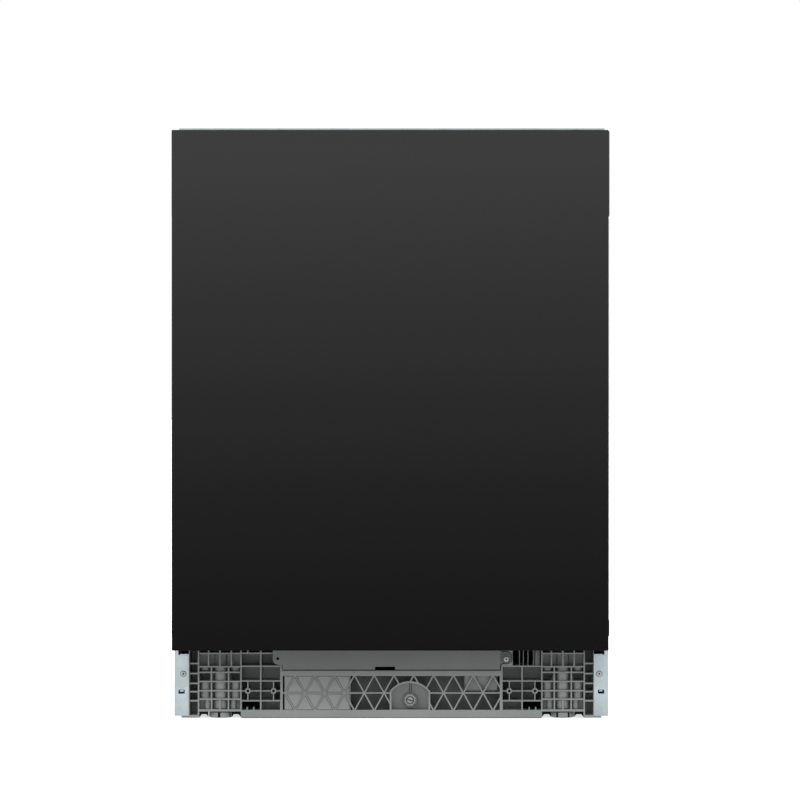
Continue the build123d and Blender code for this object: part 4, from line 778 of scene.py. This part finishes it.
levels = [tub["low"]]
for bead in tub["beads"]:
    levels += list(bead + np.linspace(-1.2, 1.2, 13) * tub["beadWidth"])
levels = np.array(levels + [tub["top"] - tub["corner"]])
angle = np.linspace(0, np.pi / 2, 9)[1:]
rightSide = np.column_stack([np.full(len(levels), tub["half"]), levels])
rightArc = np.column_stack([tub["half"] - tub["corner"] * (1 - np.cos(angle)),
                            tub["top"] - tub["corner"] * (1 - np.sin(angle))])
halfPath = np.concatenate([rightSide, rightArc])
bandPath = np.concatenate([halfPath, (halfPath * (-1, 1))[::-1]])
stations = np.concatenate([[tub["mouth"] + tub["wall"]], np.linspace(tub["mouth"] + 37, tub["mouth"] + 47, 6),
                           np.linspace(tub["back"] - 37, tub["back"] - 27, 6), [tub["back"]]])
flange = [(tub["flange"], tub["mouth"]), (tub["flange"], tub["mouth"] + tub["wall"])]
outer = flange + [(0.0, depth) for depth in stations]
inner = [(-tub["wall"], depth) for depth in stations[::-1]] + [(-tub["wall"] + 0.8, tub["mouth"])]
addPiece("bandSheet", [swept(bandPath, outer + inner, False, beadSwell)], "tub_band", smooth=30)

backField = {"half": 200.0, "low": 220.0, "high": 700.0, "radius": 30.0, "rise": 6.0, "near": 258.3,
             "thick": 1.2, "slope": 35}


# Rings of one face of the back: the raised field, its sloped border and the flat rim
def backRings(near):
    draft = backField["rise"] * math.tan(math.radians(backField["slope"]))
    half, low, high, radius = (backField[key] for key in ("half", "low", "high", "radius"))
    frames = ((half - draft, low + draft, high - draft, radius - draft / 2, None, near + backField["rise"]),
              (half, low, high, radius, None, near),
              (tub["half"], tub["low"], tub["top"], tub["corner"], 0.3, near))
    rings = []
    for half, low, high, radius, lower, depth in frames:
        flat = roundedRect(-half, half, low, high, radius, 9, lower)
        rings.append(np.column_stack([flat[:, 0], np.full(len(flat), depth), flat[:, 1]]))
    return rings


rings = backRings(backField["near"]) + backRings(backField["near"] + backField["thick"])[::-1]
addPiece("backSheet", [gridShape(np.stack(rings))], "tub_back", smooth=30)

# Seal with three soft lips, as (outward, depth) points round the tub's mouth
seal = {"gap": 3.0, "foot": 133.25, "corner": 29.0,
        "lips": [(-4.6, -214.4), (-4.8, -215.6), (-4.3, -217.2), (-3.3, -217.9), (-2.4, -217.0),
                 (-1.4, -216.2),
                 (-0.7, -217.4), (0.2, -218.6), (1.2, -217.6), (1.9, -216.2), (2.8, -217.0), (3.7, -217.8),
                 (4.6, -217.0), (4.9, -215.6), (4.7, -214.4)]}
reach = tub["half"] + seal["gap"]
sealPath = roundedRect(-reach, reach, seal["foot"], tub["top"] + seal["gap"], seal["corner"], 9)
addPiece("sealLips", [swept(sealPath, seal["lips"])], "tub_gasket", smooth=60)
print("tub made")

wire = {"thick": 2.0, "thin": 1.6, "sides": 10}
rackShape = {"front": -195.0, "back": 232.0, "corner": 22.0, "lean": 3.0, "bend": 14.0, "crossings": 13,
             "longWires": 9, "tines": 9, "tineInset": 64.0}
lowerRack = {"half": 246.0, "floor": 200.0, "rim": 330.0, "tineRows": (0.0,), "tineHeight": 58.0}
upperRack = {"half": 240.0, "floor": 512.0, "rim": 640.0, "tineRows": (-117.0, 117.0), "tineHeight": 46.0}


def tineLine(x, y0, y1, count, low, height):
    ends = (low, low + height * 0.5, low + height - wire["thick"])
    return [tube([(x, y, level) for level in ends], wire["thick"], (0, 1, 0), wire["sides"])
            for y in np.linspace(y0, y1, count)]


# Wire basket: a rim loop, a second one half way up, U wires across and along it, and fixed tines
def basketWires(rack):
    rim, floor, lean = rack["rim"], rack["floor"], rackShape["lean"]
    half, front, back = rack["half"] - 2, rackShape["front"] + 2, rackShape["back"] - 2
    shapes = []
    for level, shrink, thick in ((rim, 0.0, wire["thick"]), ((rim + floor) / 2, 2.5, wire["thin"])):
        corners = [(-half, front), (half, front), (half, back), (-half, back)]
        loop = [(x - math.copysign(shrink, x), y - math.copysign(shrink, y), level) for x, y in corners]
        path = bentPath(loop, rackShape["corner"], 7, closed=True)
        shapes.append(tube(path, thick, (0, 0, 1), wire["sides"], True))
    inner, y0, y1 = rack["half"] - 6, rackShape["front"] + 6, rackShape["back"] - 6
    low = floor + 2.0
    for y in np.linspace(y0 + 24, y1 - 24, rackShape["crossings"]):
        corners = [(-inner - lean, y, rim), (-inner, y, low), (inner, y, low), (inner + lean, y, rim)]
        path = bentPath(corners, rackShape["bend"], 6)
        shapes.append(tube(path, wire["thick"], (0, 1, 0), wire["sides"]))
    low = floor - 1.5
    for x in np.linspace(-inner + 4, inner - 4, rackShape["longWires"]):
        corners = [(x, y0 - lean, rim), (x, y0, low), (x, y1, low), (x, y1 + lean / 3, rim)]
        path = bentPath(corners, rackShape["bend"], 6)
        shapes.append(tube(path, wire["thick"], (1, 0, 0), wire["sides"]))
    ends = (rackShape["front"] + rackShape["tineInset"], rackShape["back"] - rackShape["tineInset"])
    for x in rack["tineRows"]:
        shapes += tineLine(x, *ends, rackShape["tines"], floor, rack["tineHeight"])
    return shapes


wheel = {"radius": 20.0, "width": 10.0, "x": 261.0, "axle": 161.3, "front": -150.0, "rear": 190.0,
         "spokes": 6, "spoke": ((7, 1.1), (16.6, 0.8))}


# Plate, arm and axle that carry one wheel
def wheelCarrier(y):
    inner = wheel["x"] - wheel["width"] / 2 - 4.5
    outline = roundedRect(y - 13, y + 13, wheel["axle"] - 9, 222.0, 6)
    plate = slab(outline, inner, inner + 4, "x")
    arm = slab(roundedRect(y - 9, y + 9, 198, 214, 3), 238.0, inner + 2, "x")
    axle = turned(barProfile(4.0, 0, 13.5), (inner + 3, y, wheel["axle"]), "x", 24)
    return [plate, arm, axle]


# Wheel: a tyre with a dished outer face, a hub and spokes between them
def wheelShape(y):
    half, radius = wheel["width"] / 2, wheel["radius"]
    profile = [(4.3, -half), (radius - 1.2, -half), (radius, -half + 1.2), (radius, half - 1.2),
               (radius - 1.2, half), (radius - 3.2, half), (radius - 4, half - 3), (8.6, half - 3),
               (8, half), (4.3, half), (4.3, -half)]
    face = wheel["x"] + half
    spokes = [slab(spokeOutline(turn, (y, wheel["axle"]), *wheel["spoke"]), face - 3.2, face - 0.6, "x")
              for turn in np.arange(wheel["spokes"]) * 2 * np.pi / wheel["spokes"]]
    return [turned(profile, (wheel["x"], y, wheel["axle"]), "x", 64)] + spokes


addPiece("lowerRackWires", basketWires(lowerRack), "lower_rack")
carriers = bothSides(wheelCarrier(wheel["front"])) + bothSides(wheelCarrier(wheel["rear"]))
addDetail("lowerRackCarriers", carriers, "lower_rack", "rackPlastic", bevel=0.6)
addPiece("upperRackWires", basketWires(upperRack), "upper_rack")
runnerPlate = slab(roundedRect(-171, 208, 567, 583, 4), 233.0, 240.0, "x")
addDetail("upperRackPlates", bothSides([runnerPlate]), "upper_rack", "rackPlastic", bevel=0.6)

tineRow = {"x": 120.0, "ends": (-83.0, 172.0), "level": 206.8, "count": 9, "height": 52.0, "rod": 2.5,
           "rodEnds": (-88.5, 40.0, 177.5)}
for side, node in ((-1, "tine_row_left"), (1, "tine_row_right")):
    x = side * tineRow["x"]
    rod = tube([(x, y, tineRow["level"]) for y in tineRow["rodEnds"]], tineRow["rod"], (0, 0, 1), 12)
    tines = tineLine(x, *tineRow["ends"], tineRow["count"], tineRow["level"], tineRow["height"])
    addPiece(node + "_wires", [rod] + tines, node)
for place0 in ("front", "rear"):
    node = "lower_wheels_" + place0
    addPiece(node + "_round", bothSides(wheelShape(wheel[place0])), node)

cutlery = {"x": (62.0, 222.0), "y": (-179.0, -109.0), "z": (204.3, 316.3), "wall": 1.8, "slat": 2.6,
           "step": 6.6, "bays": 4, "gripInset": 34, "gripY": -144, "gripRadius": 2.9}


# Wall of upright slats between three bands, along X or along Y
def slatWall(across, fixed, alongX):
    low, high = cutlery["z"]
    spans = [((centre - cutlery["slat"] / 2, centre + cutlery["slat"] / 2), (low + 1, high - 1))
             for centre in np.arange(across[0] + 5, across[1] - 4, cutlery["step"])]
    spans += [(across, (level, level + height))
              for level, height in ((low + 2.0, 6.0), (low + 50.0, 6.0), (high - 9.0, 9.0))]
    return [bar(*((span, fixed) if alongX else (fixed, span)), levels) for span, levels in spans]


(x0, x1), (y0, y1), (z0, z1) = cutlery["x"], cutlery["y"], cutlery["z"]
wall = cutlery["wall"]
basket = [bar((x0, x1), (y0, y1), (z0, z0 + 2.5))]
for y in (y0, y1 - wall):
    basket += slatWall((x0, x1), (y, y + wall), True)
for x in np.linspace(x0, x1 - wall, cutlery["bays"] + 1):
    basket += slatWall((y0, y1), (x, x + wall), False)
basket.append(bar((x0, x1), ((y0 + y1 - wall) / 2, (y0 + y1 + wall) / 2), (z0, z1 - 4)))
gripX = (x0 + cutlery["gripInset"], x1 - cutlery["gripInset"])
gripCorners = [(x, cutlery["gripY"], z) for x, z in
               ((gripX[0], z1 - 8), (gripX[0], z1 + 40), (gripX[1], z1 + 40), (gripX[1], z1 - 8))]
basket.append(tube(bentPath(gripCorners, 12, 7), cutlery["gripRadius"], (0, 1, 0), 14))
addPiece("basketSlats", basket, "cutlery_basket", bevel=0.35, segments=1)
print("racks made")

sprayArms = {"lower_arm": (218.0, 163.0), "upper_arm": (205.0, 466.0)}
blade = {"stations": 81, "sides": 28, "tip": 7.5, "wide": 14.5, "high": 14.0, "sway": 4.0, "power": 0.62,
         "jets": 4, "centre": 22.0,
         "hub": [(9.8, -6), (23, -6), (24, -5), (24, 9), (21, 14), (16, 17), (13, 18), (9.8, 18), (9.8, -6)]}


# Blade section: a superellipse, width and height fall to the tip, the middle line sways to a soft S
def bladeShape(reach, level):
    x = np.linspace(-reach, reach, blade["stations"])
    share = np.abs(x) / reach
    tip = np.sqrt(np.clip(1 - share ** 10, 0, 1)) * 0.999 + 0.001
    halfWidth = (blade["wide"] - (blade["wide"] - blade["tip"]) * ease(share, 0.5, 1.0)) * tip
    halfHeight = blade["high"] / 2 * (1 - 0.35 * ease(share, 0.2, 1.0)) * tip
    middle = blade["sway"] * np.sin(np.pi * x / reach)
    angle = np.arange(blade["sides"]) * 2 * np.pi / blade["sides"]
    across = signedPower(np.cos(angle), blade["power"])
    upward = signedPower(np.sin(angle), blade["power"])
    y = blade["centre"] + middle[:, None] + halfWidth[:, None] * across
    z = level + halfHeight[:, None] * (1 + upward)
    return gridShape(np.stack([np.repeat(x[:, None], len(angle), axis=1), y, z], axis=-1))


# Low dome with a slot for the water
def jetFace(across, up):
    slot = within(up, 0.7, 1.0) * within(across, 2.8, 3.6)
    return 1.6 - 1.2 * ease(np.hypot(across, up), 3.2, 5.0) - 1.4 * slot


for node, (reach, level) in sprayArms.items():
    shapes = [bladeShape(reach, level), turned(blade["hub"], (0, blade["centre"], level), "z", 64)]
    for side in (-1, 1):
        for share in np.linspace(0.26, 0.86, blade["jets"]):
            x = side * share * reach
            y = blade["centre"] + blade["sway"] * math.sin(math.pi * x / reach)
            top = blade["high"] * (1 - 0.175 * float(ease(share, 0.2, 1.0))) - 0.6
            shapes.append(reliefDisc(5.0, -2.0, (x, y, level + top), "z", jetFace, 12, 40))
    addPiece(node + "_blade", shapes, node, smooth=40)

feed = {"y": 22.0, "outlet": 498.0, "jets": 8, "jetCircle": 28,
        "jet": [(1.3, 0), (3.4, 0), (3.4, 2), (1.3, 2), (1.3, 0)],
        "sprinkler": [(0, 752), (36, 752), (41, 753.5), (44.5, 757), (46, 762), (46, 771.5), (44.5, 773),
                      (0, 773)]}
shapes = [slab(roundedRect(-17, 17, 241.7, 257.7, 6), 141.3, 764.0, "z"),
          slab(roundedRect(-14, 14, 760.0, 773.0, 5), 22.0, 253.7, "y"),
          turned(feed["sprinkler"], (0, feed["y"], 0), "z", 72),
          turned(ringProfile(14, 10, 233.7, 243.0, 0.8), (0, 0, feed["outlet"]), "y", 48)]
for turn in np.arange(feed["jets"]) * 2 * np.pi / feed["jets"]:
    across, along = feed["jetCircle"] * math.cos(turn), feed["jetCircle"] * math.sin(turn)
    shapes.append(turned(feed["jet"], (across, feed["y"] + along, feed["sprinkler"][0][1]), "z", 20))
addPiece("feedPipeRound", shapes, "feed_pipe", bevel=0.3)

shapes = [slab(roundedRect(-13, 13, 490.0, 507.7, 5), 22.0, 222.0, "y"),
          turned(ringProfile(9.5, 6.5, 214.0, 230.0, 0.6), (0, 0, feed["outlet"]), "y", 40),
          turned(barProfile(9.5, 456.0, 498.0), (0, feed["y"], 0), "z", 40),
          turned(barProfile(15.0, 454.0, 459.7, 1.0), (0, feed["y"], 0), "z", 56,
                 flutes(18, 0.6, (0.2, 0.9)))]
addPiece("upperFeedRound", shapes, "upper_feed", bevel=0.3)
print("wash arms and pipes made")

filterCup = {"place": (0, -52.0, 0), "posts": ((38.4, 3), (41.6, 3)), "postLevels": (77.0, 122.0),
             "mesh": [(39, 78), (41, 77), (41, 121), (39, 121), (39, 78)],
             "foot": [(0, 76), (40.2, 76), (41, 76.8), (41, 78), (0, 78)],
             "crown": [(30, 121.6), (45, 121.6), (46, 122.4), (46, 123.9), (45.2, 124.6), (31, 124.6),
                       (30, 123.8), (30, 121.6)],
             "grip": (-34, 34, 123.6, 136.6, 4), "gripDepth": (-54.0, -50.0)}
mesh = turned(filterCup["mesh"], filterCup["place"], "z", 72)
addDetail("filterMesh", [mesh], "filter_cylinder", "piercedSteel")
rows = dense(filterCup["crown"], 0.6)
shapes = [turned(filterCup["foot"], filterCup["place"], "z", 72),
          turned(rows, filterCup["place"], "z", 144, flutes(36, 0.7, (0.2, 0.9), 122.2))]
for turn in np.arange(4) * np.pi / 2 + np.pi / 4:
    outline = spokeOutline(turn, filterCup["place"][:2], *filterCup["posts"])
    shapes.append(slab(outline, *filterCup["postLevels"], "z"))
shapes.append(slab(roundedRect(*filterCup["grip"]), *filterCup["gripDepth"], "y"))
addPiece("filterCrown", shapes, "filter_cylinder", bevel=0.3)

saltCap = {"place": (-150.0, -95.0, 140.3), "grip": (-24, 24, -4, 4, 3.5), "gripLevels": (6.6, 16),
           "profile": [(0, 0), (35.2, 0), (36, 0.8), (36, 6.2), (34.6, 7.6), (32, 8), (26, 7.4), (0, 7.0)]}
grooves = flutes(45, 0.8, (0.0, 0.8), 0.5, 6.4)
shapes = [turned(dense(saltCap["profile"], 1.0), saltCap["place"], "z", 180, grooves),
          slab(roundedRect(*saltCap["grip"]), *saltCap["gripLevels"], "z", saltCap["place"])]
addPiece("saltCapRound", shapes, "salt_cap", bevel=0.5)

rinse = {"place": (88.0, -210.7, 440.0), "grip": (-12, 12, -2, 2, 1.8), "gripDepth": (3, 7),
         "profile": [(0, -10), (11.5, -10), (12, -9.5), (12, 0), (17, 0), (17, 2.6), (16, 4), (0, 4)]}
shapes = [turned(rinse["profile"], rinse["place"], "y", 120, flutes(30, 0.5, (0.0, 0.8), 0, 3)),
          slab(roundedRect(*rinse["grip"]), *rinse["gripDepth"], "y", rinse["place"])]
addPiece("rinseCapRound", shapes, "rinse_cap", bevel=0.3)

spring = {"x": 290.0, "z": 142.0, "start": -198.0, "end": -104.0, "radius": 4.5, "wire": 0.8, "turns": 44,
          "hook": (294.0, -212.0), "anchor": -91.1}
turnAngle = np.linspace(0, spring["turns"] * 2 * np.pi, spring["turns"] * 12 + 1)
coilRadius = spring["radius"] - spring["wire"]
x, z, start, end = (spring[key] for key in ("x", "z", "start", "end"))
coil = np.column_stack([x + coilRadius * np.cos(turnAngle), np.linspace(start, end, len(turnAngle)),
                        z + coilRadius * np.sin(turnAngle)])
hookX, hookY = spring["hook"]
frontHook = [(hookX, hookY, z), (x, hookY, z), (x, start - 3, z), (x + coilRadius, start, z)]
rearHook = [(x + coilRadius, end, z), (x, end + 3, z), (x, spring["anchor"], z)]
shapes = [tube(coil, spring["wire"], (0, 1, 0), 7),
          tube(bentPath(frontHook, 2.0, 5), spring["wire"], (0, 0, 1), 7),
          tube(rearHook, spring["wire"], (0, 0, 1), 7)]
addPiece("springCoils", bothSides(shapes), "door_springs", "boltSteel", smooth=60)

# Circulation pump along X: a fluted motor between two rings, its volute, inlet, outlets and foot
pump = {"place": (0, 150.0, 66.0), "rings": (-140.0, -90.0),
        "motor": [(0, -165), (32, -165), (37, -160), (38, -157), (38, -58), (36, -56), (0, -56)],
        "volute": [(0, -57), (43, -57), (45, -55), (45, -30), (42, -22), (36, -16), (0, -16)]}
shapes = [turned(dense(pump["motor"], 3.0), pump["place"], "x", 144, flutes(24, 1.8, (0.0, 0.5), -152, -64)),
          turned(pump["volute"], pump["place"], "x", 72),
          turned(barProfile(18, -17, 0, 1.5), pump["place"], "x", 48),
          turned(barProfile(13, 90.5, 162.0, 1.5), (-10, 0, 66.0), "y", 40),
          turned(barProfile(13, 96.0, 116.0, 1.5), (-36, 150.0, 0), "z", 40),
          bar((-140, -24), (130, 170), (16.3, 36.0))]
shapes += [turned(barProfile(41, start, start + 4, 0.6), pump["place"], "x", 72) for start in pump["rings"]]
addPiece("pumpTurned", shapes, "circulation_pump", bevel=0.4)

drainPump = {"place": (0, 10, 70), "motor": [(0, 88), (23, 88), (24, 89), (24, 143), (20, 148), (0, 148)]}
grooves = flutes(16, 1.2, (0.0, 0.5), 94, 138)
shapes = [turned(dense(drainPump["motor"], 3.0), drainPump["place"], "x", 96, grooves),
          turned(barProfile(18, 147, 172, 2.0), drainPump["place"], "x", 56),
          turned(barProfile(9, 30, 62, 1.0), (118, 0, 78), "y", 32)]
addPiece("drainPumpTurned", shapes, "drain_pump", bevel=0.4)

# Water inlet: a threaded neck through the rear wall, a six-sided nut, and the valve's body behind it
inlet = {"place": (-200.0, 0, 60.0), "nut": 24, "nutDepth": (250.7, 259.7), "pitch": 1.81, "depth": 1.0,
         "neck": [(9.0, 285), (12.6, 285), (13.2, 284.4), (13.2, 271.0), (11.5, 270.6), (11.5, 258.7),
                  (9.0, 258.7)]}
hexagon = [(inlet["nut"] * math.cos(turn), inlet["nut"] * math.sin(turn))
           for turn in np.arange(6) * np.pi / 3]
neck = dense(inlet["neck"], 0.36)
thread = threadRipple(inlet["pitch"], inlet["depth"], 271.2, 284.2, -1)
shapes = [turned(np.concatenate([neck, neck[:1]]), inlet["place"], "y", 48, thread),
          slab(hexagon, *inlet["nutDepth"], "y", inlet["place"]),
          slab(roundedRect(-216, -184, 209.7, 251.7, 5), 42, 84, "z"),
          turned(barProfile(7, 83, 106, 0.8), (-200.0, 225.7, 0), "z", 32),
          turned(barProfile(8.9, 260.0, 262.0, 0.2), inlet["place"], "y", 40)]
addPiece("inletTurned", shapes, "inlet_valve", bevel=0.5)

# Drain spigot: a tube with three barbs for the hose, and its flange
drain = {"place": (-120.0, 0, 60.0), "barbs": (264.0, 270.0, 276.0)}
spigot = [(7.5, 239.7), (10, 239.7), (10, 262)]
for start in drain["barbs"]:
    spigot += [(8.9, start), (10, start + 4.5), (8.9, start + 4.7)]
spigot += [(8.9, 283.6), (9.4, 285), (7.5, 285), (7.5, 239.7)]
flange = ringProfile(23, 9.8, 254.7, 259.7, 0.6)
shapes = [turned(profile, drain["place"], "y", 56) for profile in (spigot, flange)]
addPiece("drainTurned", shapes, "drain_outlet")

# Mains box with a fluted gland
gland = dense(ringProfile(8.5, 4.5, 258.7, 267.0, 0.5), 1.0)
shapes = [slab(roundedRect(172, 228, 36, 96, 6), 219.7, 259.7, "y"),
          turned(gland, (200.0, 0, 60.0), "y", 72, flutes(18, 0.5, (0.0, 0.8), 260))]
addPiece("mainsTurned", shapes, "mains_inlet", bevel=0.6)
print("wash system and connectors made")

camera = {"place": (0.12, -4.085, 0.438), "focal": 125.8, "sensor": 36.0, "shift": (-0.0980, 0.0007)}
cameraData = bpy.data.cameras.new("camera")
cameraData.lens = camera["focal"]
cameraData.sensor_width = camera["sensor"]
cameraData.shift_x, cameraData.shift_y = camera["shift"]
cameraObject = bpy.data.objects.new("camera", cameraData)
cameraObject.location = camera["place"]
cameraObject.rotation_euler = (math.pi / 2, 0, 0)
bpy.context.scene.collection.objects.link(cameraObject)
bpy.context.scene.camera = cameraObject

floorReach = 60
floorCorners = [(x * floorReach, y * floorReach, 0) for x, y in ((-1, -1), (1, -1), (1, 1), (-1, 1))]
floorMesh = bpy.data.meshes.new("floor")
floorMesh.from_pydata(floorCorners, [], [(0, 1, 2, 3)])
floor = bpy.data.objects.new("floor", floorMesh)
floorMesh.materials.append(moulded("paleFloor", 0.80, 0.82, (0.7, 0.8), 40.0, strength=0.0, cloud=1.0,
                                   specular=0.0, glow=0.75))
bpy.context.scene.collection.objects.link(floor)

lamps = {
    "keyLamp": {"place": (-2.2, -3.4, 2.8), "aim": (0, 0, 0.3), "size": 3.0, "power": 60},
    "fillLamp": {"place": (2.8, -2.6, 1.8), "aim": (0, 0, 0.4), "size": 2.5, "power": 15},
    "topLamp": {"place": (0, 0.5, 4.0), "aim": (0, 0, 0), "size": 4.0, "power": 60},
}
for name, lamp in lamps.items():
    data = bpy.data.lights.new(name, "AREA")
    data.size = lamp["size"]
    data.energy = lamp["power"]
    lampObject = bpy.data.objects.new(name, data)
    lampObject.location = lamp["place"]
    aim = np.array(lamp["aim"], float) - np.array(lamp["place"], float)
    tilt, heading = math.atan2(math.hypot(aim[0], aim[1]), -aim[2]), math.atan2(aim[1], aim[0]) - math.pi / 2
    lampObject.rotation_euler = (tilt, 0, heading)
    bpy.context.scene.collection.objects.link(lampObject)

world = bpy.data.worlds.new("studio")
bpy.context.scene.world = world
world.use_nodes = True
background = world.node_tree.nodes["Background"]
background.inputs["Color"].default_value = (1, 1, 1, 1)
background.inputs["Strength"].default_value = 1.0
bpy.context.scene.view_settings.view_transform = "Standard"
print("stage set")
